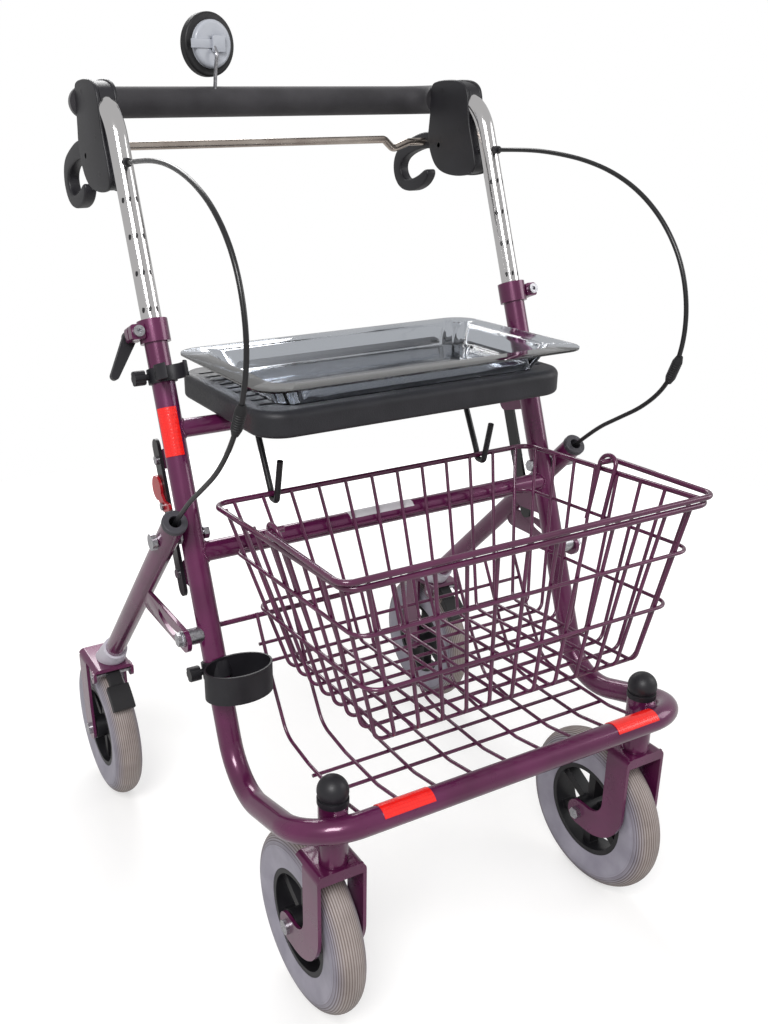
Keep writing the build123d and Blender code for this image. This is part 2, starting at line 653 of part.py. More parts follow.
def brake_shoe(side):
    """Black shoe that swings down on the front of the tread, on its own pin."""
    y, z = shoe_pivot()
    contact = WHEEL_R + SHOE_GAP
    aim = atan2_point(y, z)
    pad = Circle(contact + 11) - Circle(contact)
    window = make_face(Polyline((0, 0), polar(170, aim + 12), polar(170, aim + 30), close=True))
    pad = Pos(REAR_WHEEL_Y, WHEEL_R) * (pad & window)
    eye = disc(y, z, 6.5)
    anchor = Pos(REAR_WHEEL_Y, WHEEL_R) * disc(*polar(contact + 7, aim + 18), 3.5)
    web = make_hull((eye + anchor).edges())
    body = side_plate(pad, REAR_WHEEL_X - SHOE_T / 2, REAR_WHEEL_X + SHOE_T / 2)
    body += side_plate(web, REAR_WHEEL_X - 9, REAR_WHEEL_X + 9)
    body -= Pos(REAR_WHEEL_X, REAR_WHEEL_Y, WHEEL_R) * Rot(0, 90, 0) * Cylinder(contact, 60)
    body -= rod_x(3 + PIN_FIT, REAR_WHEEL_X - 20, REAR_WHEEL_X + 20, y, z)
    return on_side(largest(body), side)


def polar(radius, angle):
    return radius * cos(radians(angle)), radius * sin(radians(angle))


def atan2_point(y, z):
    """Angle of a point seen from the rear axle, degrees from +Y."""
    return 180 + degrees(atan((z - WHEEL_R) / (y - REAR_WHEEL_Y)))


# ------------------------------------------------------------------ handle
def handle_path(raise_bottom=0.0):
    bottom = (LEG_X, leg_y(HANDLE_BOTTOM_Z + raise_bottom), HANDLE_BOTTOM_Z + raise_bottom)
    bend = (LEG_X, leg_y(HANDLE_Z), HANDLE_Z)
    corner = (LEG_X, HANDLE_Y, HANDLE_Z)
    half = [bottom, bend, corner]
    return half + [(-x, y, z) for x, y, z in reversed(half)]


HANDLE_BENDS = [HANDLE_BEND_R, HANDLE_CORNER_R, HANDLE_CORNER_R, HANDLE_BEND_R]


def handle_tube():
    outer = HANDLE_OD / 2
    bar = tube(handle_path(), HANDLE_BENDS, outer, outer - HANDLE_WALL)
    for side in SIDES.values():
        y = leg_y(CABLE_EXIT_Z)
        bar -= Pos(side * LEG_X, y, CABLE_EXIT_Z) * Rot(90, 0, 0) * Cylinder(FERRULE_D / 2, 60)
    return bar


def foam():
    """Foam sleeve over the push bar and its two corners."""
    start = HANDLE_Y - HANDLE_CORNER_R - FACE_GAP
    half = [(LEG_X, start, HANDLE_Z), (LEG_X, HANDLE_Y, HANDLE_Z)]
    points = half + [(-x, y, z) for x, y, z in reversed(half)]
    return tube(points, [HANDLE_CORNER_R] * 2, FOAM_OD / 2, HANDLE_OD / 2 + SEAT_FIT)


def housing_face():
    """Side outline of the brake housing as (y, z)."""
    low, high = behind_leg(HANDLE_Z - 86, 19.0), behind_leg(HANDLE_Z - 31, 19.0)
    back = HANDLE_Y - HANDLE_CORNER_R - HOUSING_GAP
    top = from_bend((9.5, 9), (23.5, 18), (42.5, 22), (83.5, 22))
    rear = from_bend((96.5, -40), (83.5, -74), (55.5, -91))
    outline = [low, high, (high[0] + 6, HANDLE_Z - 15), *top, (back, HANDLE_Z + 14), (back, HANDLE_Z - 20)]
    outline += [*rear, (low[0] + 6, HANDLE_Z - 93)]
    return fillet(make_face(Polyline(*outline, close=True)).vertices(), 3.0)


def housing(side):
    """Plastic brake housing clamped on the handle bend, slotted for the lever."""
    half = HOUSING_T / 2
    body = side_plate(housing_face(), LEG_X - half, LEG_X + half)
    body = fillet(body.faces().filter_by(Axis.X).edges(), 2.0)
    body -= tube(handle_path()[:3] + [(0, HANDLE_Y, HANDLE_Z)], HANDLE_BENDS[:2], HANDLE_OD / 2 + SEAT_FIT)
    slot_half = LEVER_T / 2 + FACE_GAP
    body -= side_plate(slot_face(), LEG_X - slot_half, LEG_X + slot_half)
    body -= rod_x(3, LEG_X - 20, LEG_X + 20, LEVER_PIVOT_Y, LEVER_PIVOT_Z)
    body -= Pos(LEG_X, adjuster_y(), CABLE_EXIT_Z) * Rot(90, 0, 0) * Cylinder(3, 30)
    for y, z in housing_screw_places():
        body -= rod_x(2.6, LEG_X - half - 1, LEG_X - half + 4, y, z)
        body -= rod_x(2.6, LEG_X + half - 4, LEG_X + half + 1, y, z)
    return on_side(largest(body), side)


def housing_screw_places():
    return from_bend((65.5, 10), (27.5, -36), (23.5, -74))


def slot_face():
    """Room inside the housing for the lever's root, open to the rear and below."""
    room = from_bend((47.5, -120), (47.5, -48), (59.5, -36), (77.5, -26), (127.5, -26), (127.5, -120))
    return Polygon(*room, align=None)


def adjuster_y():
    return leg_y(CABLE_EXIT_Z) + 30


def lever_face():
    """Side outline of the hooked brake lever as (y, z)."""
    root_and_back = from_bend((69.5, -64), (69.5, -48), (83.5, -42), (115.5, -40), (149.5, -50), (177.5, -63))
    hook_outside = from_bend((187.5, -78), (183.5, -100), (167.5, -115), (139.5, -117), (113.5, -107))
    tip = from_bend((101.5, -94), (105.5, -88), (123.5, -97))
    hook_inside = from_bend((149.5, -104), (163.5, -100), (171.5, -86), (163.5, -74), (139.5, -65))
    outline = root_and_back + hook_outside + tip + hook_inside + from_bend((109.5, -60))
    return fillet(make_face(Polyline(*outline, close=True)).vertices(), 2.5)


def levers():
    """Both hooked levers; the link rod joins them so that one hand works both brakes."""
    body = side_plate(lever_face(), LEG_X - LEVER_T / 2, LEG_X + LEVER_T / 2)
    body += rod_x(9, LEG_X - LEVER_T / 2, LEG_X + LEVER_T / 2, LEVER_PIVOT_Y, LEVER_PIVOT_Z)
    body = fillet(body.faces().filter_by(Axis.X).edges().filter_by(GeomType.LINE), 1.0)
    body -= rod_x(3 + PIN_FIT, LEG_X - 20, LEG_X + 20, LEVER_PIVOT_Y, LEVER_PIVOT_Z)
    for end in (-1, 1):
        face = LEG_X + end * LEVER_T / 2
        body -= rod_x(ROD_D / 2 + SEAT_FIT, face - 4, face + 4, ROD_Y, ROD_Z - 4)
    return both_sides(body)


def link_rod():
    """Chrome rod between the levers, with a jog near its left end."""
    low = ROD_Z - 4
    inner = LEG_X - LEVER_T / 2 + 3.5
    points = [(-inner, ROD_Y, low), (-inner + 14, ROD_Y, low), (-inner + 44, ROD_Y, ROD_Z),
              (168, ROD_Y, ROD_Z), (182, ROD_Y, low - 8), (206, ROD_Y, low), (inner, ROD_Y, low)]
    return tube(points, [20, 30, 8, 8, 10], ROD_D / 2)


def lever_hardware():
    """Lever pins, cable adjusters and housing screws."""
    half = HOUSING_T / 2
    pin = rod_x(3, LEG_X - half, LEG_X + half, LEVER_PIVOT_Y, LEVER_PIVOT_Z)
    front = leg_y(CABLE_EXIT_Z) + HANDLE_OD / 2
    adjuster = Pos(LEG_X, front + 11.5, CABLE_EXIT_Z) * Rot(90, 0, 0) * Cylinder(3, 18)
    nut = Rot(90, 0, 0) * extrude(RegularPolygon(5, 6), 2, both=True)
    adjuster += Pos(LEG_X, front + 5.2, CABLE_EXIT_Z) * nut
    pieces = both_sides(pin) + both_sides(adjuster)
    for y, z in housing_screw_places():
        for end in (-1, 1):
            face = LEG_X + end * half
            pieces += both_sides(rod_x(2.5, face - end * 4, face - end * 1.5, y, z))
    return pieces


def ferrules():
    """Black cable end fittings on the front of each handle tube."""
    y = leg_y(CABLE_EXIT_Z)
    stem = Pos(LEG_X, y - 2, CABLE_EXIT_Z) * Rot(90, 0, 0) * Cylinder(FERRULE_D / 2 - SEAT_FIT, 22)
    knob_l = FERRULE_FRONT - HANDLE_OD / 2
    knob = Pos(LEG_X, y - HANDLE_OD / 2 - knob_l / 2, CABLE_EXIT_Z) * Rot(90, 0, 0) * Cylinder(4.6, knob_l)
    knob -= leg_plane(CABLE_EXIT_Z) * Cylinder(HANDLE_OD / 2 + SEAT_FIT, 60)
    knob = largest(knob)
    stem -= leg_plane(CABLE_EXIT_Z) * Cylinder(HANDLE_OD / 2 - HANDLE_WALL - 1, 60)
    return both_sides(knob + largest(stem & Pos(LEG_X, y - 20, CABLE_EXIT_Z) * Box(20, 40, 20)))


# ------------------------------------------------------------------ mirror
def mirror_plane():
    """Frame at the mirror's centre: local Z points to the user."""
    turn = radians(MIRROR_TURN)
    centre = (MIRROR_X, HANDLE_Y, MIRROR_Z)
    return Plane(origin=centre, x_dir=(cos(turn), sin(turn), 0), z_dir=(-sin(turn), cos(turn), 0))


def mirror_shell():
    """Round shell with a rubber rim; the glass sits in its user side."""
    radius = MIRROR_D / 2
    shell = Pos(0, 0, MIRROR_DEPTH / 2) * Cylinder(radius, MIRROR_DEPTH)
    shell = fillet(shell.edges(), 3.0)
    shell -= Pos(0, 0, MIRROR_DEPTH - 1.5) * Cylinder(radius - 4, 3.01)
    back = Pos(0, 0, -3) * Cylinder(radius - 9, 8)
    back = fillet(back.edges().group_by(Axis.Z)[0], 4)
    body = shell + back
    body -= Pos(0, 0, -7) * Sphere(JOINT_BALL_D / 2 + PIN_FIT) + Pos(0, 0, -6) * Cylinder(7.5, 2.01)
    return mirror_plane() * body


def mirror_glass():
    return mirror_plane() * (Pos(0, 0, MIRROR_DEPTH - 1.7) * Cylinder(MIRROR_D / 2 - 4 - SEAT_FIT, 2.4))


def mirror_stem():
    """Thin stem from the push bar to a ball behind the mirror."""
    plane = mirror_plane()
    ball = plane.from_local_coords(Vector(0, 0, -7))
    knee = (ball.X - 1, ball.Y - 10, MIRROR_Z - 12)
    foot = (MIRROR_X, HANDLE_Y - 8, HANDLE_Z + FOAM_OD / 2 - 3)
    points = [foot, (MIRROR_X, HANDLE_Y - 12, MIRROR_Z - 30), knee, (ball.X, ball.Y, ball.Z)]
    stem = tube(points, [12, 6], STEM_WIRE_D / 2) + Pos(*ball) * Sphere(JOINT_BALL_D / 2)
    stem -= rod_x(FOAM_OD / 2 + SEAT_FIT, MIRROR_X - 10, MIRROR_X + 10, HANDLE_Y, HANDLE_Z)
    return largest(stem)


# ------------------------------------------------------------------ seat and tray
SEAT_BOTTOM_Z = UPPER_BAR_Z + UPPER_BAR_D / 2 + SEAT_RISE
SEAT_TOP_Z = SEAT_BOTTOM_Z + SEAT_T


def seat():
    """Moulded seat board with two saddles that clip on the upper crossbar."""
    length = SEAT_BACK_Y - SEAT_FRONT_Y
    middle_y = (SEAT_BACK_Y + SEAT_FRONT_Y) / 2
    board = extrude(RectangleRounded(2 * SEAT_HALF_W, length, 34), SEAT_T)
    board = fillet(board.edges().group_by(Axis.Z)[-1], 8)
    board = fillet(board.edges().group_by(Axis.Z)[0], 5)
    for end in (-1, 1):
        for number in range(SEAT_RIBS):
            y = (number - (SEAT_RIBS - 1) / 2) * 20
            groove = extrude(SlotOverall(40, 6), 2.5)
            board -= Pos(end * (SEAT_HALF_W - 34), y, SEAT_T - 2.5) * groove
    body = Pos(0, middle_y, SEAT_BOTTOM_Z) * board
    bar_y = leg_y(UPPER_BAR_Z)
    for side in SIDES.values():
        drop = UPPER_BAR_D / 2 + SEAT_RISE
        saddle = Pos(side * SADDLE_X, bar_y, SEAT_BOTTOM_Z - drop / 2) * Box(30, UPPER_BAR_D + 12, drop)
        body += saddle
    body -= rod_x(UPPER_BAR_D / 2 + SEAT_FIT, -SEAT_HALF_W, SEAT_HALF_W, bar_y, UPPER_BAR_Z)
    return body


def tray_layer(inset, corner_r):
    length = TRAY_BACK_Y - TRAY_FRONT_Y
    return RectangleRounded(2 * (TRAY_HALF_W - inset), length - 2 * inset, corner_r)


def tray():
    """Clear drop-in tray with a wide flange; its floor lies on the seat."""
    floor_z = SEAT_TOP_Z + FACE_GAP
    middle_y = (TRAY_BACK_Y + TRAY_FRONT_Y) / 2
    deep = TRAY_DEPTH
    foot, mouth = TRAY_FLANGE + TRAY_TAPER, TRAY_FLANGE
    outer = loft([tray_layer(foot, 22), Pos(0, 0, deep) * tray_layer(mouth, 24)])
    inner = loft([Pos(0, 0, TRAY_WALL) * tray_layer(foot + TRAY_WALL, 20),
                  Pos(0, 0, deep + 0.01) * tray_layer(mouth + TRAY_WALL, 22)])
    flange = Pos(0, 0, deep - TRAY_WALL) * extrude(tray_layer(0, TRAY_CORNER_R), TRAY_WALL)
    body = outer + flange - inner
    return Pos(0, middle_y, floor_z) * body


# ------------------------------------------------------------------ wire basket
def basket_place():
    """Frame of the basket: origin on the rear rim wire, -Y towards the front."""
    return Location((0, RIM_Y, RIM_Z), (-BASKET_TILT, 0, 0))


RIM_INSET = (RIM_WIRE + BASKET_WIRE) / 2 - WIRE_LAP
RING_INSET = BASKET_WIRE - WIRE_LAP


def wall_at(depth):
    """Half width, rear y and front y of the upright wires' axes at a depth below the rim."""
    share = depth / BASKET_DEPTH
    half = BASKET_HALF_W - RIM_INSET + share * (BOTTOM_HALF_W - BASKET_HALF_W)
    rear = -RIM_INSET + share * BOTTOM_REAR
    front = -BASKET_LENGTH + RIM_INSET + share * (BOTTOM_FRONT + BASKET_LENGTH)
    return half, rear, front


def ring(depth, wire, inset):
    """A closed wire hoop around the outside of the upright wires."""
    half, rear, front = wall_at(depth)
    width, length = 2 * (half + inset * WALL_SLANT), rear - front + 2 * inset * WALL_SLANT
    corner = 18.0
    outline = RectangleRounded(width, length, corner).face().outer_wire()
    section = Plane(origin=outline @ 0, z_dir=outline % 0) * Circle(wire / 2)
    hoop = sweep(section, path=outline)
    return Pos(0, (rear + front) / 2, -depth) * hoop


def spread(count, low, high):
    """Evenly spaced values, half a pitch in from each end."""
    pitch = (high - low) / count
    return [low + pitch * (number + 0.5) for number in range(count)]


def basket():
    wires = [ring(0, RIM_WIRE, RIM_INSET)]
    wires += [ring(depth, BASKET_WIRE, RING_INSET) for depth in RING_DEPTHS]
    top_half, top_rear, top_front = wall_at(0)
    low_half, low_rear, low_front = wall_at(BASKET_DEPTH)
    drop = BASKET_WIRE - WIRE_LAP
    for x_top, x_low in zip(spread(LONG_WIRES, -top_half, top_half), spread(LONG_WIRES, -low_half, low_half)):
        points = [(x_top, top_rear, 0), (x_low, low_rear, -BASKET_DEPTH), (x_low, low_front, -BASKET_DEPTH),
                  (x_top, top_front, 0)]
        wires.append(tube(points, [12, 12], BASKET_WIRE / 2))
    for y_top, y_low in zip(spread(CROSS_WIRES, top_front, top_rear), spread(CROSS_WIRES, low_front, low_rear)):
        points = [(-top_half, y_top, 0), (-low_half, y_low, -BASKET_DEPTH - drop),
                  (low_half, y_low, -BASKET_DEPTH - drop), (top_half, y_top, 0)]
        wires.append(tube(points, [12, 12], BASKET_WIRE / 2))
    return [basket_place() * wire for wire in wires]


def hanger_loop():
    """Upright wire loop on each side wall; the bail's ends turn in it."""
    ring_depth = RING_DEPTHS[0]
    low = ring_depth + 6
    x_ring = wall_at(ring_depth)[0] + RING_INSET * WALL_SLANT - ((BASKET_WIRE + LOOP_WIRE) / 2 - WIRE_LAP) * WALL_SLANT
    x_top = BASKET_HALF_W - (RIM_WIRE + LOOP_WIRE) / 2 + WIRE_LAP
    lean = (x_top - x_ring) / ring_depth
    x_low, x_high = x_top - lean * low, x_top + lean * LOOP_RISE
    front, back = BAIL_Y - LOOP_SPAN / 2, BAIL_Y + LOOP_SPAN / 2
    points = [(x_low, front, -low), (x_high, front, LOOP_RISE), (x_high, back, LOOP_RISE), (x_low, back, -low)]
    return basket_place() * tube(points, [LOOP_SPAN / 2 - 0.5] * 2, LOOP_WIRE / 2)


def bail_height():
    """Bail axis above the rim: just under the top of the hanger loop."""
    return LOOP_RISE - (LOOP_WIRE + RIM_WIRE) / 2 - 0.6


def bail():
    """Carrying handle, folded forward on the rim."""
    inner = wall_at(0)[0] - 8
    arm_x = BASKET_HALF_W + 5.5
    rest = RIM_WIRE + 1.0
    half = [(inner, BAIL_Y, bail_height()), (arm_x, BAIL_Y, bail_height()), (arm_x, -BASKET_LENGTH, rest)]
    points = half + [(-x, y, z) for x, y, z in reversed(half)]
    return basket_place() * tube(points, [5, 14, 14, 5], RIM_WIRE / 2)


def hooks():
    """Wire hooks on the upper crossbar that carry the rear rim wire."""
    bend = RIM_WIRE / 2 + HOOK_WIRE / 2 + 2 * FACE_GAP
    bar_y = leg_y(UPPER_BAR_Z)
    top = (bar_y - 2, UPPER_BAR_Z - UPPER_BAR_D / 2 - HOOK_WIRE / 2 + 1.5)
    path = [(HOOK_X, top[0], top[1]), (HOOK_X, RIM_Y + bend, RIM_Z + 2), (HOOK_X, RIM_Y + bend - 1, RIM_Z - bend),
            (HOOK_X, RIM_Y - bend, RIM_Z - bend), (HOOK_X, RIM_Y - bend - 11, RIM_Z + 42)]
    hook = tube(path, [12, bend - 2, bend - 2], HOOK_WIRE / 2)
    hook -= rod_x(UPPER_BAR_D / 2, HOOK_X - 20, HOOK_X + 20, bar_y, UPPER_BAR_Z)
    hook = largest(hook)
    return both_sides(hook)


# ------------------------------------------------------------------ lower shelf
def shelf():
    """Curved wire shelf from a wire between the legs down and forward to the front bar."""
    top_y, top_z = leg_y(384.0) + 14.0, 384.0
    reach = LEG_X - FRAME_R + 1.5
    top = rod_x(SHELF_TOP_WIRE / 2, -reach, reach, top_y, top_z)
    for side in SIDES.values():
        top -= leg_plane(top_z, side) * Cylinder(FRAME_R, 80)
    wires = [largest(top)]
    lift = (SHELF_TOP_WIRE + SHELF_WIRE) / 2 - WIRE_LAP
    path = [(top_y - lift, top_z + 6), (top_y - lift - 36, 322), (-146, SHELF_Z + 6), (-196, SHELF_Z),
            (-262, SHELF_Z), (BAR_Y + FRAME_R + 1, BAR_Z - 1)]
    pitch = 2 * SHELF_HALF_W / (SHELF_WIRES - 1)
    for number in range(SHELF_WIRES):
        x = -SHELF_HALF_W + pitch * number
        points = [(x, y, z) for y, z in path]
        wires.append(tube(points, [40, 30, 40, 40], SHELF_WIRE / 2))
    under = SHELF_WIRE - WIRE_LAP
    for (y, z), (dy, dz) in shelf_cross_places():
        wires.append(rod_x(SHELF_WIRE / 2, -SHELF_HALF_W - 4, SHELF_HALF_W + 4, y + dy * under, z + dz * under))
    return wires


def shelf_cross_places():
    """Where cross wires lie on the long wires, with the direction that puts them underneath."""
    top_y = leg_y(384.0) + 14.0 - (SHELF_TOP_WIRE + SHELF_WIRE) / 2 + WIRE_LAP
    run = hypot(36, 68)
    slope = (68 / run, -36 / run)
    places = [((top_y - 36 * share, 390 - 68 * share), slope) for share in (0.45, 0.72)]
    places += [((y, SHELF_Z), (0, -1)) for y in (-212.0, -246.0)]
    return places


# ------------------------------------------------------------------ crutch holder
def crutch_cup():
    """Open oval cup in front of the right leg, held by a band around the leg."""
    leg = leg_plane(CUP_Z, -1)
    band = leg * (Cylinder(FRAME_R + 3, 18) - Cylinder(FRAME_R + SEAT_FIT, 18))
    x, y = -LEG_X + CUP_SHIFT, leg_y(CUP_Z + CUP_H / 2) - FRAME_R - 3 - CUP_DEPTH / 2 + CUP_WALL
    wall = extrude(Ellipse(CUP_W / 2, CUP_DEPTH / 2), CUP_H / 2, both=True)
    hollow = extrude(Ellipse(CUP_W / 2 - CUP_WALL, CUP_DEPTH / 2 - CUP_WALL), CUP_H / 2, both=True)
    shell = Pos(x, y, CUP_Z) * (wall - Pos(0, 0, CUP_WALL + 1) * hollow)
    neck = Pos(-LEG_X, y + CUP_DEPTH / 2 + 4, CUP_Z - CUP_H / 2 + 4) * Box(22, 30, 8)
    neck -= Pos(x, y, CUP_Z) * extrude(Ellipse(CUP_W / 2 - CUP_WALL / 2, CUP_DEPTH / 2 - CUP_WALL / 2), 40, both=True)
    body = band + shell + neck
    return largest(body - leg * Cylinder(FRAME_R + SEAT_FIT, 90))


def crutch_clip():
    """Open C clip in front of the right leg, on the same kind of band."""
    leg = leg_plane(CLIP_Z, -1)
    outer = CLIP_BORE / 2 + CLIP_WALL
    band = Cylinder(FRAME_R + 3, CLIP_H) - Cylinder(FRAME_R + SEAT_FIT, CLIP_H)
    y = -(FRAME_R + 3 + outer - 1.5)
    clip = Pos(0, y, 0) * (Cylinder(outer, CLIP_H) - Cylinder(CLIP_BORE / 2, CLIP_H))
    clip -= Pos(0, y - outer, 0) * Box(CLIP_BORE * 0.72, outer * 1.3, CLIP_H + 2)
    clip -= Cylinder(FRAME_R + 1, CLIP_H)
    return leg * (band + clip)


def crutch_knobs():
    """Thumb knobs on the outer side of both bands."""
    knobs = []
    for z in (CUP_Z, CLIP_Z):
        lobes = Circle(8)
        for number in range(6):
            lobes -= Rot(0, 0, 60 * number) * Pos(9.6, 0) * Circle(2.6)
        knob = extrude(lobes, 12) + Pos(0, 0, -2) * Cylinder(3.5, 4)
        turned = Pos(-(FRAME_R + 3 + 4), 0, 0) * Rot(0, -90, 0) * knob
        knobs.append(leg_plane(z, -1) * turned)
    return knobs


# ------------------------------------------------------------------ reflectors and label
def wrap(radius, thickness, width, low_angle, high_angle):
    """A thin strip bent around a bar along local Z, between two angles."""
    band = Cylinder(radius + thickness, width) - Cylinder(radius + 0.02, width)
    far = 4 * radius
    middle = (low_angle + high_angle) / 2
    wedge = Polygon((0, 0), polar(far, low_angle), polar(far, middle), polar(far, high_angle), align=None)
    return band & extrude(wedge, width, both=True)


def reflectors():
    pieces = []
    strip = wrap(FRAME_R, 0.8, 58, 205, 325)
    for x in (-138.0, 156.0):
        pieces.append(Pos(x, BAR_Y, BAR_Z) * Rot(0, 90, 0) * Rot(0, 0, -85) * strip)
    leg_strip = wrap(FRAME_R, 0.8, 52, 190, 290)
    pieces.append(leg_plane(590.0, -1) * leg_strip)
    return pieces


def label():
    strip = wrap(LOWER_BAR_D / 2, 0.4, 86, 205, 295)
    turned = Pos(-7, leg_y(LOWER_BAR_Z), LOWER_BAR_Z) * Rot(0, 90, 0) * Rot(0, 0, -60) * strip
    return turned


# ------------------------------------------------------------------ brake cables
CABLE_ROUTES = {
    "right": [(-241, 20, 862), (-244, -32, 863), (-247, -84, 859), (-250, -134, 849),
              (-252, -180, 832), (-253, -217, 804), (-254, -240, 768), (-255, -249, 724), (-256, -240, 680),
              (-258, -219, 638), (-260, -186, 600), (-262, -147, 571), (-264, -110, 545)],
    "left": [(241, 22, 860), (244, -26, 857), (247, -76, 850), (250, -122, 837),
             (252, -164, 816), (253, -200, 786), (254, -226, 748), (255, -238, 704), (256, -236, 660),
             (258, -219, 620), (260, -188, 590), (262, -148, 566), (264, -110, 543)],
}


def route_radii(points):
    """Largest even bends: 0.45 of the shorter run over the tangent of half the turn."""
    radii = []
    for before, here, after in zip(points, points[1:], points[2:]):
        a, b = Vector(*here) - Vector(*before), Vector(*after) - Vector(*here)
        turn = radians(a.get_angle(b))
        radii.append(0.45 * min(a.length, b.length) / tan(turn / 2))
    return radii


def cable(side_name):
    side = SIDES[side_name]
    start = (side * LEG_X, leg_y(CABLE_EXIT_Z) - FERRULE_FRONT - 2 * FACE_GAP, CABLE_EXIT_Z)
    end = (side * REAR_LEG_X, *rear_dir(-REAR_TOP + 8))
    points = [start] + CABLE_ROUTES[side_name] + [end]
    radii = route_radii(points)
    line = FilletPolyline(*points, radius=radii)
    body = sweep(Plane(origin=line @ 0, z_dir=line % 0) * Circle(CABLE_D / 2), path=line)
    solid = largest(body)
    ratio = solid.volume / (pi * CABLE_D ** 2 / 4 * line.length)
    print(f"cable {side_name}: length {line.length:.1f} mm, smallest radius {min(radii):.0f} mm, "
          f"volume ratio {ratio:.4f}")
    first, second = Vector(*points[SLEEVE_FROM]), Vector(*points[SLEEVE_FROM + 1])
    run = (second - first).normalized()
    middle = (first + second) * 0.5
    sleeve = Plane(origin=middle, z_dir=run) * (Cylinder(SLEEVE_D / 2, 30) - Cylinder(CABLE_D / 2 + 0.2, 30))
    return [solid, sleeve]


# ------------------------------------------------------------------ build
def main():
    os.makedirs("parts", exist_ok=True)
    save("front_frame_tube", front_frame())
    save("crossbars", [crossbar(UPPER_BAR_Z, UPPER_BAR_D), crossbar(LOWER_BAR_Z, LOWER_BAR_D)])
    save("caster_stem_tubes", caster_stems())
    save("stem_ball_caps", ball_caps())
    save("leg_gussets", leg_gussets())
    save("height_collars", [collar(side) for side in SIDES.values()])
    save("frame_bolts", pivot_bolts() + stay_screws() + [collar_screw(side) for side in SIDES.values()])
    save("seat", seat())
    save("basket_hooks", hooks())
    save("seat_stays", seat_stays())
    save("fold_stop_bolts", stop_bolts())
    save("reflectors", reflectors())
    save("lower_shelf", shelf())
    save("blank_label", label())
    save("crutch_clip", crutch_clip())
    save("crutch_cup", crutch_cup())
    save("crutch_knobs", crutch_knobs())
    save("clamp_lever_right", clamp_lever(-1, 238))
    save("clamp_lever_left", clamp_lever(1, 100))
    save("handle_tube", handle_tube())
    save("handle_foam", foam())
    save("brake_housings", [housing(side) for side in SIDES.values()])
    save("lever_hardware", lever_hardware())
    save("cable_ferrules", ferrules())
    save("mirror_stem", mirror_stem())
    save("brake_levers", levers())
    save("brake_link_rod", link_rod())
    save("mirror_shell", mirror_shell())
    save("mirror_glass", mirror_glass())
    save("fold_latch", latch())
    save("tray", tray())
    save("wire_basket", basket() + both_sides(hanger_loop()))
    save("basket_bail", bail())
    for name, side in SIDES.items():
        save(f"rear_leg_{name}", rear_leg(side))
        save(f"rear_cap_{name}", rear_cap(side))
        save(f"rear_sleeve_{name}", rear_sleeve(side))
        save(f"rear_fork_{name}", rear_fork(side))
        save(f"rear_axle_{name}", rear_axle(side))
        save(f"rear_tyre_{name}", tyre(side * REAR_WHEEL_X, REAR_WHEEL_Y))
        save(f"rear_rim_{name}", rim(side * REAR_WHEEL_X, REAR_WHEEL_Y))
        save(f"brake_shoe_{name}", brake_shoe(side))
        save(f"caster_fork_{name}", caster_fork(side))
        save(f"front_axle_{name}", axle(side * FRONT_WHEEL_X, FRONT_WHEEL_Y, side))
        save(f"front_tyre_{name}", tyre(side * FRONT_WHEEL_X, FRONT_WHEEL_Y))
        save(f"front_rim_{name}", rim(side * FRONT_WHEEL_X, FRONT_WHEEL_Y))
        save(f"brake_cable_{name}", cable(name))


if __name__ == "__main__":
    main()
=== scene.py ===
# %% [markdown]
# # A four-wheeled walking frame, dressed for its portrait
# The CAD model is the frame of this scene: its nodes already stand in the right place and its
# bodies already know how they move. This file gives every piece its finish, and rebuilds the
# pieces that a CAD kernel draws too plainly: tyres, cables, brake housings and levers, weld
# beads, housing screws, and black discs of painted shade in the handle's height holes.
# Lengths are metres, +Z is up, and the front of the frame faces -Y.

# %% Frame and helpers
import json
from math import acos, cos, pi, radians, sin, sqrt, tan

import bmesh
import bpy
from mathutils import Matrix, Vector
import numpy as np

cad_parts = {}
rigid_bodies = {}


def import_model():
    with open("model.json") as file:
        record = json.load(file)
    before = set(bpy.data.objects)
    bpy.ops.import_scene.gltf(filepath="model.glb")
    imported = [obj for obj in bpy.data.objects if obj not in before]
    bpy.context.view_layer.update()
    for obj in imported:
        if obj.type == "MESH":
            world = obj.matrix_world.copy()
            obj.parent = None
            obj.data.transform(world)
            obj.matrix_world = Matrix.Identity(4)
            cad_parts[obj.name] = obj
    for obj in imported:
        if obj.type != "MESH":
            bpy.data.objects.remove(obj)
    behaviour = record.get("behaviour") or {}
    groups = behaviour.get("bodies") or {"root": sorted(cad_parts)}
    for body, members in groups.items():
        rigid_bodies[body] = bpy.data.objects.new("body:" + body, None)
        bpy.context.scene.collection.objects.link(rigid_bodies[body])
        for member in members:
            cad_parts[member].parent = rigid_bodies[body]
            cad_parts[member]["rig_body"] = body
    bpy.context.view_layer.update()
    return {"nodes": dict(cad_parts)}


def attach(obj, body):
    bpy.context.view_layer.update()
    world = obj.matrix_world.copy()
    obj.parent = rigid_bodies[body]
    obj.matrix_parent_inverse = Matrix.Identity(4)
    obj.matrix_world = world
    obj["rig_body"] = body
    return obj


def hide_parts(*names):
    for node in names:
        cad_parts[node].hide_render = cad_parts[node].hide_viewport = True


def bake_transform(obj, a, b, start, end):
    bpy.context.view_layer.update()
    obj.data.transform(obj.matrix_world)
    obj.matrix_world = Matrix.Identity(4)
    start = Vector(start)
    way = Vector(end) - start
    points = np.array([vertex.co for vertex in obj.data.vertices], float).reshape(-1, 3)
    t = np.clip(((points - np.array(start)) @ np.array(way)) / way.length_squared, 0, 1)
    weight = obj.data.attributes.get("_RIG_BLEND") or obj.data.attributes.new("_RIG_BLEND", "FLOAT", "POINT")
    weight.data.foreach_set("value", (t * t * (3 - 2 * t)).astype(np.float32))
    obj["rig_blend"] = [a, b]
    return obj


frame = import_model()
NODES = frame["nodes"]
MM = 0.001
SIDES = {"right": -1, "left": 1}
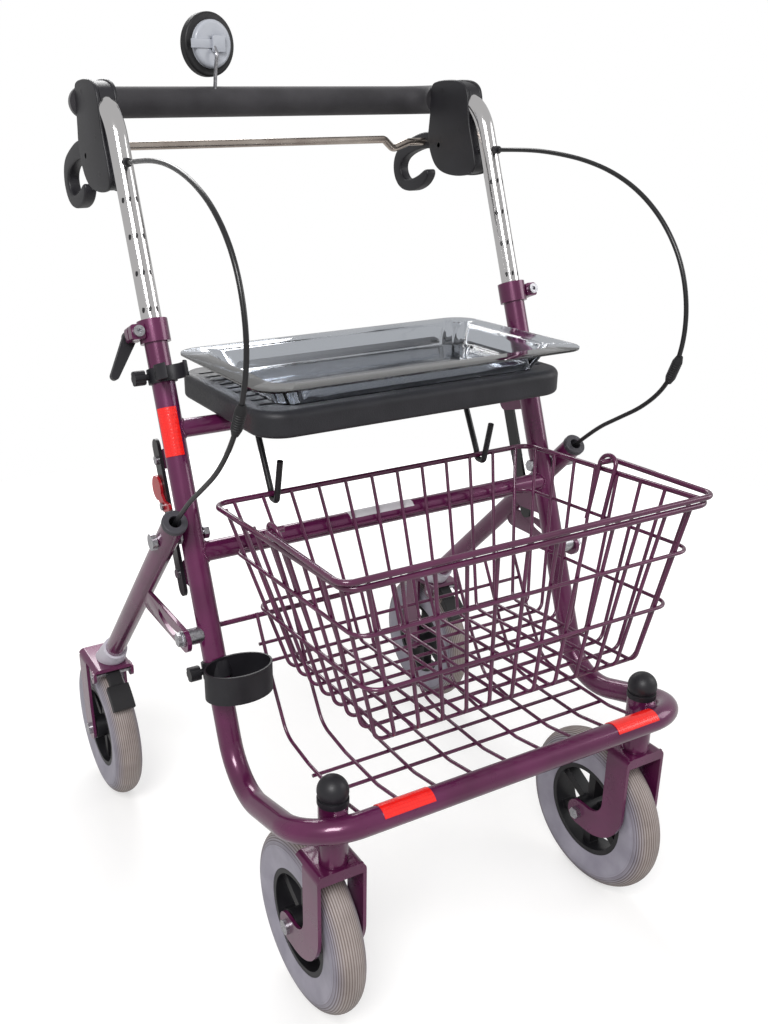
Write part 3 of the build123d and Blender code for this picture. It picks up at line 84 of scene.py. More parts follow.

# %% [markdown]
# ## Sizes that the looks share with the CAD model
# Leg lean, tube sizes and wheel places are the same values as in the CAD source, because a
# weld bead or a disc of painted hole shade has to sit exactly on the tube that it belongs to.

# %% Shared sizes
LEAN = radians(20.3)
PIVOT_Y, PIVOT_Z = -48 * MM, 486 * MM
LEG_X = 238 * MM
LEG_R = 12.7 * MM
HANDLE_R = 11 * MM
WHEEL_R = 100 * MM
TYRE_HALF_W = 19 * MM
RIM_R = 58 * MM
FRONT_WHEEL = (200 * MM, -235.5 * MM)
REAR_WHEEL = (272 * MM, 240 * MM)


def leg_y(z):
    """Y of the leaning leg's axis at a height."""
    return PIVOT_Y + (z - PIVOT_Z) * tan(LEAN)


print("leg axis at the collar, mm", round(leg_y(691 * MM) / MM, 1))

# %% [markdown]
# ## Colours and nodes
# A hex colour is what a paint chart gives, in sRGB. Blender's shaders count in linear light, so
# one function turns the one into the other. A second function adds a shader or geometry node
# with its settings and its links, which keeps each material below short enough to read.


# %% Colour and node helpers
def srgb(hex_code):
    """Linear RGBA from an sRGB hex code such as 5A1C4C."""
    channels = [int(hex_code[i:i + 2], 16) / 255 for i in (0, 2, 4)]
    return [c / 12.92 if c <= 0.04045 else ((c + 0.055) / 1.055) ** 2.4 for c in channels] + [1.0]


def add(tree, kind, sockets=None, **settings):
    """Adds a node; a socket's value is a number, a colour, or another node's output to link."""
    made = tree.nodes.new(kind)
    for key, value in settings.items():
        setattr(made, key, value)
    for key, value in (sockets or {}).items():
        if isinstance(value, bpy.types.NodeSocket):
            tree.links.new(value, made.inputs[key])
        else:
            made.inputs[key].default_value = value
    return made


def new_material(name, sockets):
    """A material with one Principled shader; sockets are its plain values."""
    material = bpy.data.materials.new(name)
    material.use_nodes = True
    tree = material.node_tree
    tree.nodes.clear()
    shader = add(tree, "ShaderNodeBsdfPrincipled", sockets)
    add(tree, "ShaderNodeOutputMaterial", {"Surface": shader.outputs["BSDF"]})
    place = add(tree, "ShaderNodeTexCoord").outputs["Object"]
    return material, tree, shader, place


def bump(tree, shader, height, distance_mm, strength=1.0, normal=None):
    """Feeds a height pattern to the shader's normal; distance is the relief's real depth."""
    sockets = {"Height": height, "Distance": distance_mm * MM, "Strength": strength}
    if normal is not None:
        sockets["Normal"] = normal
    made = add(tree, "ShaderNodeBump", sockets)
    tree.links.new(made.outputs["Normal"], shader.inputs["Normal"])
    return made.outputs["Normal"]


def noise(tree, place, grain_mm, detail=2.0, rough=0.5):
    """Noise whose lumps are about grain_mm across."""
    sockets = {"Vector": place, "Scale": 1 / (grain_mm * MM), "Detail": detail, "Roughness": rough}
    return add(tree, "ShaderNodeTexNoise", sockets).outputs["Fac"]


def ramp(tree, factor, stops):
    """A colour ramp from (position, colour) stops."""
    made = add(tree, "ShaderNodeValToRGB", {"Fac": factor})
    stripe = made.color_ramp.elements
    while len(stripe) < len(stops):
        stripe.new(0.5)
    for element, (position, colour) in zip(stripe, stops):
        element.position = position
        element.color = colour
    return made.outputs["Color"]


def spread(tree, value, low, high):
    """Maps 0..1 to low..high."""
    return add(tree, "ShaderNodeMapRange", {"Value": value, "To Min": low, "To Max": high}).outputs["Result"]


print("plum in linear light", [round(c, 3) for c in srgb("5A1C4C")])

# %% [markdown]
# ## Painted steel
# The frame is mild-steel tube with a plum stove enamel over a metallic base coat. The eye sees
# a deep colour, a sharp clear-coat highlight, and a faint orange-peel ripple about 2 mm across.


# %% Plum enamel
def plum_enamel(name, deep, light, metallic):
    material, tree, shader, place = new_material(name, {
        "Metallic": metallic, "IOR": 1.5, "Coat Weight": 0.8, "Coat Roughness": 0.06, "Coat IOR": 1.5})
    clouds = noise(tree, place, 60, 3.0)
    colour = ramp(tree, clouds, [(0.3, srgb(deep)), (0.7, srgb(light))])
    tree.links.new(colour, shader.inputs["Base Color"])
    tree.links.new(spread(tree, noise(tree, place, 25), 0.22, 0.36), shader.inputs["Roughness"])
    bump(tree, shader, noise(tree, place, 2.2, 1.0), 0.03, 0.5)
    return material


PLUM = plum_enamel("plum_stove_enamel", "571442", "6B1F53", 0.3)
WIRE_PLUM = plum_enamel("plum_dip_coated_wire", "4C1238", "611E4A", 0.1)

# %% [markdown]
# ## Bare metals
# The telescopic handle is chromed steel: almost a mirror, with faint vertical polishing lines.
# Bolts and pins are zinc plated, which is duller and a little mottled. The brake link rod is
# satin nickel plate: warmer in colour, with soft reflections.


# %% Chrome, zinc and nickel
def bright_chrome():
    material, tree, shader, place = new_material("chromed_steel", {
        "Metallic": 1.0, "Base Color": srgb("E8E6E6")})
    along = add(tree, "ShaderNodeMapping", {"Vector": place, "Scale": (1.0, 1.0, 0.04)}).outputs["Vector"]
    lines = noise(tree, along, 1.5, 3.0)
    tree.links.new(spread(tree, lines, 0.05, 0.16), shader.inputs["Roughness"])
    bump(tree, shader, lines, 0.01, 0.25)
    return material


def zinc_plate():
    material, tree, shader, place = new_material("zinc_plated_steel", {"Metallic": 1.0})
    mottle = add(tree, "ShaderNodeTexVoronoi", {"Vector": place, "Scale": 1 / (1.8 * MM)}).outputs["Color"]
    value = add(tree, "ShaderNodeRGBToBW", {"Color": mottle}).outputs["Val"]
    colour = ramp(tree, value, [(0.2, srgb("A9A9AE")), (0.8, srgb("C9C8CC"))])
    tree.links.new(colour, shader.inputs["Base Color"])
    tree.links.new(spread(tree, noise(tree, place, 3), 0.2, 0.4), shader.inputs["Roughness"])
    return material


def satin_nickel():
    material, tree, shader, place = new_material("satin_nickel_plate", {"Metallic": 1.0})
    clouds = noise(tree, place, 30, 2.0)
    colour = ramp(tree, clouds, [(0.3, srgb("B5A89F")), (0.7, srgb("CFC4BA"))])
    tree.links.new(colour, shader.inputs["Base Color"])
    tree.links.new(spread(tree, noise(tree, place, 20), 0.24, 0.3), shader.inputs["Roughness"])
    return material


CHROME, ZINC, NICKEL = bright_chrome(), zinc_plate(), satin_nickel()

# %% [markdown]
# ## Plastics and rubbers
# Each moulding is a plain colour with the texture of its tool: spark-eroded ABS on the brake
# housings, a leather grain on the polypropylene seat, open cells on the foam sleeve. One
# function makes them all from colour, roughness, grain size and relief, since they differ only
# in those numbers. A broad, weak noise keeps large faces from looking printed.


# %% Moulded materials
def moulded(name, colour, lighter, roughness, grain_mm, relief_mm, cells=False, sheen=0.0, coat=0.0):
    material, tree, shader, place = new_material(name, {
        "IOR": 1.49, "Sheen Weight": sheen, "Sheen Roughness": 0.5, "Coat Weight": coat,
        "Coat Roughness": 0.1})
    broad = noise(tree, place, 40, 2.0)
    drift = ramp(tree, broad, [(0.3, srgb(colour)), (0.75, srgb(lighter))])
    tree.links.new(drift, shader.inputs["Base Color"])
    if cells:
        cell_nodes = add(tree, "ShaderNodeTexVoronoi", {"Vector": place, "Scale": 1 / (grain_mm * MM)})
        grain = cell_nodes.outputs["Distance"]
    else:
        grain = noise(tree, place, grain_mm, 3.0, 0.6)
    tree.links.new(spread(tree, grain, roughness - 0.06, roughness + 0.1), shader.inputs["Roughness"])
    bump(tree, shader, grain, relief_mm, 0.6)
    return material


ABS_BLACK = moulded("spark_eroded_black_abs", "1B1A1E", "242328", 0.42, 0.9, 0.06)
SEAT_PP = moulded("leather_grain_black_polypropylene", "232327", "2F2E33", 0.45, 1.7, 0.14, cells=True)
FOAM = moulded("closed_cell_black_foam", "262428", "39373B", 0.66, 1.3, 0.12, cells=True, sheen=0.2)
DISH_GREY = moulded("satin_silver_abs", "A9ADB6", "BCBFC7", 0.3, 1.2, 0.02, coat=0.3)
RUBBER = moulded("black_rubber", "141416", "1E1D20", 0.5, 1.1, 0.05)
CABLE_JACKET = moulded("black_pvc_cable_jacket", "121214", "1B1A1D", 0.32, 2.0, 0.02, coat=0.2)
RIM_NYLON = moulded("glass_filled_black_nylon", "0E0D11", "19181D", 0.42, 0.8, 0.05)
BOOT_WHITE = moulded("white_polypropylene", "C6C2CE", "D8D5DD", 0.38, 1.4, 0.04)
CAP_GREY = moulded("dark_grey_polyethylene", "3B393F", "4A484F", 0.45, 1.2, 0.05)
LATCH_RED = moulded("red_glossy_nylon", "A81420", "C21C2A", 0.28, 1.6, 0.03, coat=0.4)
BLACK_LACQUER = moulded("black_powder_coat", "161518", "201F23", 0.34, 0.8, 0.05, coat=0.15)
BLANK_LABEL = moulded("vinyl_label", "C4C1C6", "D6D3D6", 0.4, 2.0, 0.01)


# %% [markdown]
# ## Tyre compound
# The wheels carry solid tyres of pale grey foamed polyurethane. The colour drifts from lavender
# grey at the sides to a warmer, browner grey on the tread, and the grooves between the ribs are
# darkened with painted shade.


# %% Tyre material
def attribute(tree, name):
    """A value that the mesh stores at each point."""
    return add(tree, "ShaderNodeAttribute", attribute_name=name).outputs["Fac"]


def blend_colours(tree, factor, first, second, mode="MIX"):
    made = add(tree, "ShaderNodeMix", data_type="RGBA", blend_type=mode)
    for socket, value in zip((made.inputs[0], made.inputs[6], made.inputs[7]), (factor, first, second)):
        if isinstance(value, bpy.types.NodeSocket):
            tree.links.new(value, socket)
        else:
            socket.default_value = value
    return made.outputs[2]


def tyre_compound():
    material, tree, shader, place = new_material("pale_grey_polyurethane", {"IOR": 1.5, "Sheen Weight": 0.1})
    clouds = noise(tree, place, 35, 4.0)
    sides = ramp(tree, clouds, [(0.3, srgb("8C8896")), (0.7, srgb("A6A2AF"))])
    treads = ramp(tree, clouds, [(0.3, srgb("9A8F8B")), (0.7, srgb("B3A8A4"))])
    unshaded_tyre_colour = blend_colours(tree, attribute(tree, "tread"), sides, treads)
    # Painted shade: each point is darkened by how deep in a groove it lies.
    painted_groove_shade = ramp(tree, attribute(tree, "groove"), [(0.35, srgb("FFFFFF")), (1.0, srgb("A89C98"))])
    colour = blend_colours(tree, 1.0, unshaded_tyre_colour, painted_groove_shade, "MULTIPLY")
    tree.links.new(colour, shader.inputs["Base Color"])
    tree.links.new(spread(tree, noise(tree, place, 8), 0.42, 0.62), shader.inputs["Roughness"])
    bump(tree, shader, noise(tree, place, 1.0, 3.0), 0.06, 0.5)
    return material


TYRE = tyre_compound()


# %% [markdown]
# ## Clear tray, mirror and reflectors
# The tray is vacuum-formed acrylic: it bends light with an IOR of 1.49 and has a slight blue
# edge. The mirror is silvered glass. The reflectors are red tape full of little prisms, drawn
# here 3 mm apart so that they show, with a faint painted red glow added to them.


# %% Clear, mirror and reflector materials
def clear_acrylic():
    material, tree, shader, place = new_material("clear_acrylic", {
        "Base Color": srgb("DDE2EA"), "Transmission Weight": 1.0, "IOR": 1.49})
    tree.links.new(spread(tree, noise(tree, place, 30, 4.0), 0.01, 0.07), shader.inputs["Roughness"])
    bump(tree, shader, noise(tree, place, 22, 2.0), 0.25, 0.25)
    return material


def silvered_glass():
    material, tree, shader, place = new_material("silvered_glass", {
        "Metallic": 1.0, "Base Color": srgb("E4E7EC")})
    tree.links.new(spread(tree, noise(tree, place, 12), 0.01, 0.05), shader.inputs["Roughness"])
    return material


def prism_tape():
    # The faint red emission is a painted glow: the tape is no lamp.
    material, tree, shader, place = new_material("red_prism_tape", {
        "IOR": 1.55, "Coat Weight": 0.6, "Coat Roughness": 0.08, "Emission Color": srgb("FF1010"),
        "Emission Strength": 0.18})
    prisms = add(tree, "ShaderNodeTexVoronoi", {"Vector": place, "Scale": 1 / (3 * MM), "Randomness": 0.15},
                 distance="CHEBYCHEV")
    colour = ramp(tree, prisms.outputs["Distance"], [(0.1, srgb("FF2418")), (0.75, srgb("C00A0E"))])
    tree.links.new(colour, shader.inputs["Base Color"])
    tree.links.new(spread(tree, prisms.outputs["Distance"], 0.12, 0.35), shader.inputs["Roughness"])
    bump(tree, shader, prisms.outputs["Distance"], 0.3, 0.7)
    return material


ACRYLIC, GLASS, PRISM = clear_acrylic(), silvered_glass(), prism_tape()

# %% [markdown]
# ## Dressing the CAD nodes
# Most pieces keep their CAD shape. A CAD node arrives as loose triangles, so each is copied,
# its doubles are merged, faces are smoothed up to an angle, and many pieces get a bevel of a
# few tenths of a millimetre, because no real edge is perfectly sharp. Weighted normals keep the
# flat faces flat beside it. The copy rides on the same body and stands for the node.


# %% Dress function
def dress(node, material, edge_mm=0.0, sharp=38):
    """A finished copy of a CAD node."""
    source = NODES[node]
    mesh = source.data.copy()
    mesh.materials.clear()
    mesh.materials.append(material)
    work = bmesh.new()
    work.from_mesh(mesh)
    bmesh.ops.remove_doubles(work, verts=work.verts, dist=0.002 * MM)
    work.to_mesh(mesh)
    work.free()
    mesh.shade_smooth()
    mesh.set_sharp_from_angle(angle=radians(sharp))
    for name in [layer.name for layer in mesh.attributes if layer.name == "custom_normal"]:
        mesh.attributes.remove(mesh.attributes[name])
    for polygon in mesh.polygons:
        polygon.material_index = 0
    piece = bpy.data.objects.new(node + "_piece", mesh)
    bpy.context.scene.collection.objects.link(piece)
    if edge_mm:
        soften = piece.modifiers.new("edge", "BEVEL")
        soften.width, soften.segments = edge_mm * MM, 2
        soften.limit_method, soften.angle_limit = "ANGLE", radians(sharp)
        soften.use_clamp_overlap = True
    even = piece.modifiers.new("even_faces", "WEIGHTED_NORMAL")
    even.keep_sharp, even.weight = True, 90
    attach(piece, source["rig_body"])
    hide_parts(node)
    return piece


FINISHES = [
    (PLUM, "plum_paint", 0.0, ["front_frame_tube", "crossbars", "caster_stem_tubes"]),
    (PLUM, "plum_paint", 0.5, ["leg_gussets", "height_collars"]),
    (WIRE_PLUM, "plum_paint", 0.0, ["lower_shelf", "wire_basket", "basket_bail"]),
    (ABS_BLACK, "black_plastic", 0.4, ["stem_ball_caps", "crutch_clip", "crutch_cup", "crutch_knobs",
                                       "clamp_lever_right", "clamp_lever_left", "cable_ferrules"]),
    (SEAT_PP, "black_plastic", 0.0, ["seat"]),
    (BLACK_LACQUER, "black_paint", 0.4, ["basket_hooks", "seat_stays"]),
    (ZINC, "bolt_steel", 0.3, ["frame_bolts", "fold_stop_bolts", "lever_hardware"]),
    (ZINC, "bolt_steel", 0.0, ["mirror_stem"]),
    (PRISM, "red_plastic", 0.0, ["reflectors"]),
    (BLANK_LABEL, "label", 0.0, ["blank_label"]),
    (CHROME, "chrome", 0.0, ["handle_tube"]),
    (NICKEL, "chrome", 0.0, ["brake_link_rod"]),
    (FOAM, "foam", 0.0, ["handle_foam"]),
    (GLASS, "mirror", 0.0, ["mirror_glass"]),
    (LATCH_RED, "red_plastic", 0.4, ["fold_latch"]),
    (ACRYLIC, "clear_plastic", 0.0, ["tray"]),
]
for side in SIDES:
    FINISHES += [
        (PLUM, "plum_paint", 0.0, [f"rear_leg_{side}"]),
        (PLUM, "plum_paint", 0.6, [f"rear_fork_{side}", f"caster_fork_{side}"]),
        (CAP_GREY, "grey_plastic", 0.4, [f"rear_cap_{side}"]),
        (BOOT_WHITE, "white_plastic", 0.5, [f"rear_sleeve_{side}"]),
        (ZINC, "bolt_steel", 0.3, [f"rear_axle_{side}", f"front_axle_{side}"]),
        (RIM_NYLON, "black_plastic", 0.4, [f"rear_rim_{side}", f"front_rim_{side}"]),
        (RUBBER, "rubber", 0.5, [f"brake_shoe_{side}"]),
    ]
PIECES = {}
for material, slot, edge_mm, names in FINISHES:
    for name in names:
        PIECES[name] = dress(name, material, edge_mm)
print("dressed", len(PIECES), "CAD nodes")

# %% [markdown]
# ## Mirror shell
# The little mirror has a fat black rubber rim round a silver moulded back. It is one CAD node, so the
# rim gets its own material by its distance from the mirror's axis.

# %% Mirror shell in two materials
MIRROR_TURN = radians(12)
MIRROR_CENTRE = Vector((-66, 245, 984)) * MM
MIRROR_AXIS = Vector((-sin(MIRROR_TURN), cos(MIRROR_TURN), 0))
DISH_R = 28 * MM
shell = dress("mirror_shell", RUBBER, 0.0)
shell.data.materials.append(DISH_GREY)
for polygon in shell.data.polygons:
    away = polygon.center - MIRROR_CENTRE
    radial = (away - MIRROR_AXIS * away.dot(MIRROR_AXIS)).length
    polygon.material_index = 1 if radial < DISH_R else 0
print("silver faces", sum(p.material_index for p in shell.data.polygons))


# %% [markdown]
# ## Plates with soft outlines
# Brake housings, levers and small brackets are flat mouldings or pressings with a flowing
# outline. A closed NURBS curve gives the outline, its extrude gives the thickness and its bevel
# rounds the edge, which is quicker and smoother than pushing a mesh about.


# %% Plate helper
def tidy_mesh(piece, sharp=40):
    """Merges doubles, points faces outward and smooths them."""
    work = bmesh.new()
    work.from_mesh(piece.data)
    bmesh.ops.remove_doubles(work, verts=work.verts, dist=0.001 * MM)
    bmesh.ops.recalc_face_normals(work, faces=work.faces)
    work.to_mesh(piece.data)
    work.free()
    piece.data.shade_smooth()
    piece.data.set_sharp_from_angle(angle=radians(sharp))


def soft_plate(name, outline, x_from, x_to, edge, material, body, order=3):
    """A plate between two X planes; the outline is (y, z) control points in metres."""
    low, high = sorted((x_from, x_to))
    curve = bpy.data.curves.new(name, "CURVE")
    curve.dimensions, curve.fill_mode = "2D", "BOTH"
    curve.extrude = (high - low) / 2 - edge
    curve.bevel_depth, curve.bevel_resolution, curve.offset = edge, 3, -edge
    line = curve.splines.new("NURBS")
    line.points.add(len(outline) - 1)
    for point, (y, z) in zip(line.points, outline):
        point.co = (y, z, 0, 1)
    line.order_u, line.use_cyclic_u, line.resolution_u = order, True, 8
    holder = bpy.data.objects.new(name + "_outline", curve)
    bpy.context.scene.collection.objects.link(holder)
    bpy.context.view_layer.update()
    mesh = bpy.data.meshes.new_from_object(holder.evaluated_get(bpy.context.evaluated_depsgraph_get()))
    bpy.data.objects.remove(holder)
    upright = Matrix(((0, 0, 1, (low + high) / 2), (1, 0, 0, 0), (0, 1, 0, 0), (0, 0, 0, 1)))
    mesh.transform(upright)
    mesh.name = name
    mesh.materials.clear()
    mesh.materials.append(material)
    piece = bpy.data.objects.new(name, mesh)
    bpy.context.scene.collection.objects.link(piece)
    tidy_mesh(piece, 35)
    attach(piece, body)
    return piece


# %% [markdown]
# ## Brake housings and levers
# Each housing is moulded as two cheeks screwed to a core, and the lever swings in the slot
# between the cheeks. The lever is a broad hook that the fingers pull up towards the push bar.

# %% Housings and levers
BEND = (112.54 * MM, 920 * MM)
HOUSING_HALF, SLOT_HALF, LEVER_HALF = 12 * MM, 7.8 * MM, 7.5 * MM


def from_bend(*places):
    """Points given in millimetres from the handle's bend, as (y, z)."""
    return [(BEND[0] + y * MM, BEND[1] + z * MM) for y, z in places]


CHEEK = from_bend((-13, -88), (-6, -60), (5, -34), (8, -14), (11, 10), (26, 20), (50, 22.5), (78, 22),
                  (91, 18), (91, -4), (93, -26), (96, -44), (90, -66), (76, -84), (54, -92), (20, -94))
CORE = from_bend((-12, -86), (-5, -60), (5, -34), (8, -14), (11, 9), (26, 18), (50, 21), (78, 20.5),
                 (89, 16), (90, -8), (88, -22), (70, -26), (56, -38), (47, -52), (47, -76), (44, -90),
                 (14, -92))
LEVER = from_bend((69.5, -65), (68, -47), (84, -41), (116, -39), (150, -49), (178, -61), (189, -80),
                  (185, -101), (168, -116), (140, -118), (114, -110), (101, -97), (101, -88), (108, -87),
                  (124, -96), (148, -103), (163, -100), (171, -86), (163, -74), (140, -65), (109, -59))
CHEEK_EDGE, LEVER_EDGE = 1.6 * MM, 2.6 * MM
for side, sign in SIDES.items():
    middle = sign * LEG_X
    for end in (-1, 1):
        where = "outer" if end == sign else "inner"
        cheek = soft_plate(f"housing_cheek_{where}_{side}", CHEEK, middle + end * SLOT_HALF,
                           middle + end * HOUSING_HALF, CHEEK_EDGE, ABS_BLACK, "handle")
        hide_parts("brake_housings")
    core = soft_plate(f"housing_core_{side}", CORE, middle - SLOT_HALF, middle + SLOT_HALF, 0.0,
                      ABS_BLACK, "handle")
    lever = soft_plate(f"lever_hook_{side}", LEVER, middle - LEVER_HALF, middle + LEVER_HALF, LEVER_EDGE,
                       ABS_BLACK, "brake_levers")
    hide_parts("brake_housings")
    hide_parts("brake_levers")

# %% [markdown]
# ## Mirror bracket
# Behind the mirror a bright strap runs from the rim to a small clamp over the ball joint. Both
# are thin pressings, so they are soft plates too, turned to lie square to the mirror.

# %% Mirror strap and clamp
STRAP = [(y * MM, x * MM) for y, x in ((-5, -33), (5, -33), (5, -3), (-5, -3))]
CLAMP = [(y * MM, x * MM) for y, x in ((-9, -4), (9, -4), (9, 14), (-9, 14))]
to_mirror = Matrix.Translation(MIRROR_CENTRE) @ Matrix((
    (-sin(MIRROR_TURN), 0, cos(MIRROR_TURN), 0), (cos(MIRROR_TURN), 0, sin(MIRROR_TURN), 0),
    (0, 1, 0, 0), (0, 0, 0, 1)))
for name, outline, deep, face in (("mirror_strap", STRAP, -8.4, -7.2), ("mirror_clamp", CLAMP, -11.5, -8.4)):
    doubled = [point for corner in outline for point in (corner, corner)]
    plate = soft_plate(name, doubled, deep * MM, face * MM, 0.4 * MM, DISH_GREY, "mirror")
    plate.data.transform(to_mirror)
    print(name, "faces", len(plate.data.polygons))

# %% [markdown]
# ## Helpers for geometry trees
# Every tree below is built by the same steps. One helper declares its named inputs, one runs it
# on an object and keeps the result as a plain mesh, and one makes the straight-sided curves
# that some of them start from.


# %% Tree helpers
def group(name, *sockets):
    """A new geometry tree with named inputs; each socket is (name, kind, default)."""
    tree = bpy.data.node_groups.new(name, "GeometryNodeTree")
    tree.interface.new_socket("Geometry", in_out="INPUT", socket_type="NodeSocketGeometry")
    tree.interface.new_socket("Geometry", in_out="OUTPUT", socket_type="NodeSocketGeometry")
    for label, kind, default in sockets:
        made = tree.interface.new_socket(label, in_out="INPUT", socket_type="NodeSocket" + kind)
        if default is not None:
            made.default_value = default
    return tree, add(tree, "NodeGroupInput").outputs


def grow(holder, tree, name, values):
    """Runs a tree on an object and returns the result as a plain mesh object."""
    modifier = holder.modifiers.new(tree.name, "NODES")
    modifier.node_group = tree
    for item in tree.interface.items_tree:
        if item.in_out == "INPUT" and item.name in values:
            modifier[item.identifier] = values[item.name]
    bpy.context.view_layer.update()
    evaluated = holder.evaluated_get(bpy.context.evaluated_depsgraph_get())
    mesh = bpy.data.meshes.new_from_object(evaluated)
    bpy.data.objects.remove(holder)
    mesh.name = name
    piece = bpy.data.objects.new(name, mesh)
    bpy.context.scene.collection.objects.link(piece)
    return piece


def poly_curve(name, points, cyclic=False):
    """An object with one straight-sided curve."""
    curve = bpy.data.curves.new(name, "CURVE")
    curve.dimensions = "3D"
    line = curve.splines.new("POLY")
    line.points.add(len(points) - 1)
    for point, place in zip(line.points, points):
        point.co = (*place, 1)
    line.use_cyclic_u = cyclic
    holder = bpy.data.objects.new(name, curve)
    bpy.context.scene.collection.objects.link(holder)
    return holder


# %% [markdown]
# ## Tyres
# A solid tyre is one cross-section swept round a circle. Geometry Nodes does just that: the
# object's own curve is the section, a Curve Circle is the path, and Curve to Mesh joins them.
# The section carries fine ribs that run round the tread, 2.8 mm apart.


# %% Tyre section
TYRE_BULGE = 19 * MM
RIB_PITCH, RIB_DEPTH = 2.8 * MM, 0.4 * MM


def tyre_section():
    """Closed outline of the tyre as (across, radius) from the middle of the wheel."""
    steps = 84
    centre_r = WHEEL_R - TYRE_BULGE
    outline = []
    for step in range(steps + 1):
        angle = pi * step / steps
        depth = RIB_DEPTH * (0.5 - 0.5 * cos(2 * pi * angle * TYRE_BULGE / RIB_PITCH))
        reach = TYRE_BULGE - 0.02 * MM - depth
        outline.append((reach * cos(angle) * TYRE_HALF_W / TYRE_BULGE, centre_r + reach * sin(angle)))
    outline += [(-18.2 * MM, 74 * MM), (-16.5 * MM, 64 * MM), (-15.5 * MM, RIM_R), (15.5 * MM, RIM_R),
                (16.5 * MM, 64 * MM), (18.2 * MM, 74 * MM)]
    return outline


# %% Tyre tree
def hoop_tree():
    """Sweeps the object's curve round a wheel axis that lies along X."""
    tree, given = group("swept_hoop", ("Steps", "Int", 128), ("Centre", "Vector", None),
                        ("Material", "Material", None))
    path = add(tree, "GeometryNodeCurvePrimitiveCircle", {"Resolution": given["Steps"], "Radius": 1.0 * MM})
    swept = add(tree, "GeometryNodeCurveToMesh", {"Curve": path.outputs["Curve"],
                                                  "Profile Curve": given["Geometry"]})
    turned = add(tree, "GeometryNodeTransform", {
        "Geometry": swept.outputs["Mesh"], "Rotation": (0, pi / 2, 0), "Translation": given["Centre"]})
    real = add(tree, "GeometryNodeRealizeInstances", {"Geometry": turned.outputs["Geometry"]})
    shown = add(tree, "GeometryNodeSetMaterial", {"Geometry": real.outputs["Geometry"],
                                                  "Material": given["Material"]})
    add(tree, "NodeGroupOutput", {"Geometry": shown.outputs["Geometry"]})
    return tree


TREAD_FROM, TREAD_FADE = 88 * MM, 9 * MM


def mark_tread(mesh, x, y):
    """Stores where the tread is, and how deep in a groove each point lies; the depth drives the painted groove
    shade.
    """
    tread = mesh.attributes.new("tread", "FLOAT", "POINT")
    groove = mesh.attributes.new("groove", "FLOAT", "POINT")
    for vertex in mesh.vertices:
        across = max(-1.0, min(1.0, (vertex.co.x - x) / TYRE_HALF_W))
        reach = sqrt((vertex.co.y - y) ** 2 + (vertex.co.z - WHEEL_R) ** 2)
        turns = acos(across) * TYRE_BULGE / RIB_PITCH
        ribbed = reach > WHEEL_R - TYRE_BULGE
        tread.data[vertex.index].value = max(0.0, min(1.0, (reach - TREAD_FROM) / TREAD_FADE))
        groove.data[vertex.index].value = 0.5 - 0.5 * cos(2 * pi * turns) if ribbed else 0.0


HOOP = hoop_tree()
PATH_R = 1.0 * MM
for end, (x, y) in (("front", FRONT_WHEEL), ("rear", REAR_WHEEL)):
    for side, sign in SIDES.items():
        node = f"{end}_tyre_{side}"
        outline = [(r - PATH_R, across, 0) for across, r in tyre_section()]
        section = poly_curve(node + "_section", outline, True)
        tyre = grow(section, HOOP, node + "_ribbed", {
            "Steps": 128, "Centre": (sign * x, y, WHEEL_R), "Material": TYRE})
        tidy_mesh(tyre, 60)
        mark_tread(tyre.data, sign * x, y)
        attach(tyre, f"{end}_wheel_{side}")
        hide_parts(node)
low = min(v.co.z for v in tyre.data.vertices)
across = [v.co.x for v in tyre.data.vertices]
print("tyre", len(tyre.data.polygons), "faces, lowest point mm", round(low / MM, 2),
      "width mm", round((max(across) - min(across)) / MM, 2))

# %% [markdown]
# ## Brake cables
# Each brake is worked by a sheathed steel cable. It leaves the front of the handle tube, bows
# forward and down in the curve that its own stiffness gives it, passes a rubber joint sleeve,
# and ends in the cap of the rear leg. The route is a handful of points; a NURBS curve of order
# three makes one smooth line of them. The upper run bends between the handle and the frame as
# the handle slides, and the lower run between the frame and the rear leg as it folds.

# %% Cable routes
CABLE_D = 5 * MM
ROUTES = {
    "right": [(-238, 69.4, 859), (-241, 20, 862), (-244, -32, 863), (-247, -84, 859), (-250, -134, 849),
              (-252, -180, 832), (-253, -217, 804), (-254, -240, 768), (-255, -249, 724), (-256, -240, 680),
              (-257, -229.5, 659),
              (-258, -219, 638), (-260, -186, 600), (-262, -147, 571), (-264, -110, 545),
              (-266, -67.7, 505.9)],
    "left": [(238, 69.4, 859), (241, 22, 860), (244, -26, 857), (247, -76, 850), (250, -122, 837),
             (252, -164, 816), (253, -200, 786), (254, -226, 748), (255, -238, 704), (256, -236, 660),
             (257, -227.5, 640),
             (258, -219, 620), (260, -188, 590), (262, -148, 566), (264, -110, 543), (266, -67.7, 505.9)],
}
SPLIT = 10                   # the sleeve sits on this point of the route


def centre_line(name, points):
    """The NURBS curve through the route, with no thickness yet."""
    curve = bpy.data.curves.new(name, "CURVE")
    curve.dimensions = "3D"
    line = curve.splines.new("NURBS")
    line.points.add(len(points) - 1)
    for point, place in zip(line.points, points):
        point.co = (*(Vector(place) * MM), 1)
    line.order_u = 3
    line.use_endpoint_u = True
    line.resolution_u = 10
    holder = bpy.data.objects.new(name, curve)
    bpy.context.scene.collection.objects.link(holder)
    return holder


def as_mesh(holder):
    bpy.context.view_layer.update()
    return bpy.data.meshes.new_from_object(holder.evaluated_get(bpy.context.evaluated_depsgraph_get()))


def cable_run(name, points):
    """A cable as a mesh tube, with the line that it follows."""
    holder = centre_line(name + "_line", points)
    path = [v.co.copy() for v in as_mesh(holder).vertices]
    holder.data.bevel_depth = CABLE_D / 2
    holder.data.bevel_resolution = 4
    holder.data.use_fill_caps = True
    mesh = as_mesh(holder)
    bpy.data.objects.remove(holder)
    piece = bpy.data.objects.new(name, mesh)
    mesh.materials.clear()
    mesh.materials.append(CABLE_JACKET)
    mesh.shade_smooth()
    bpy.context.scene.collection.objects.link(piece)
    length = sum((b - a).length for a, b in zip(path, path[1:]))
    return piece, path, length


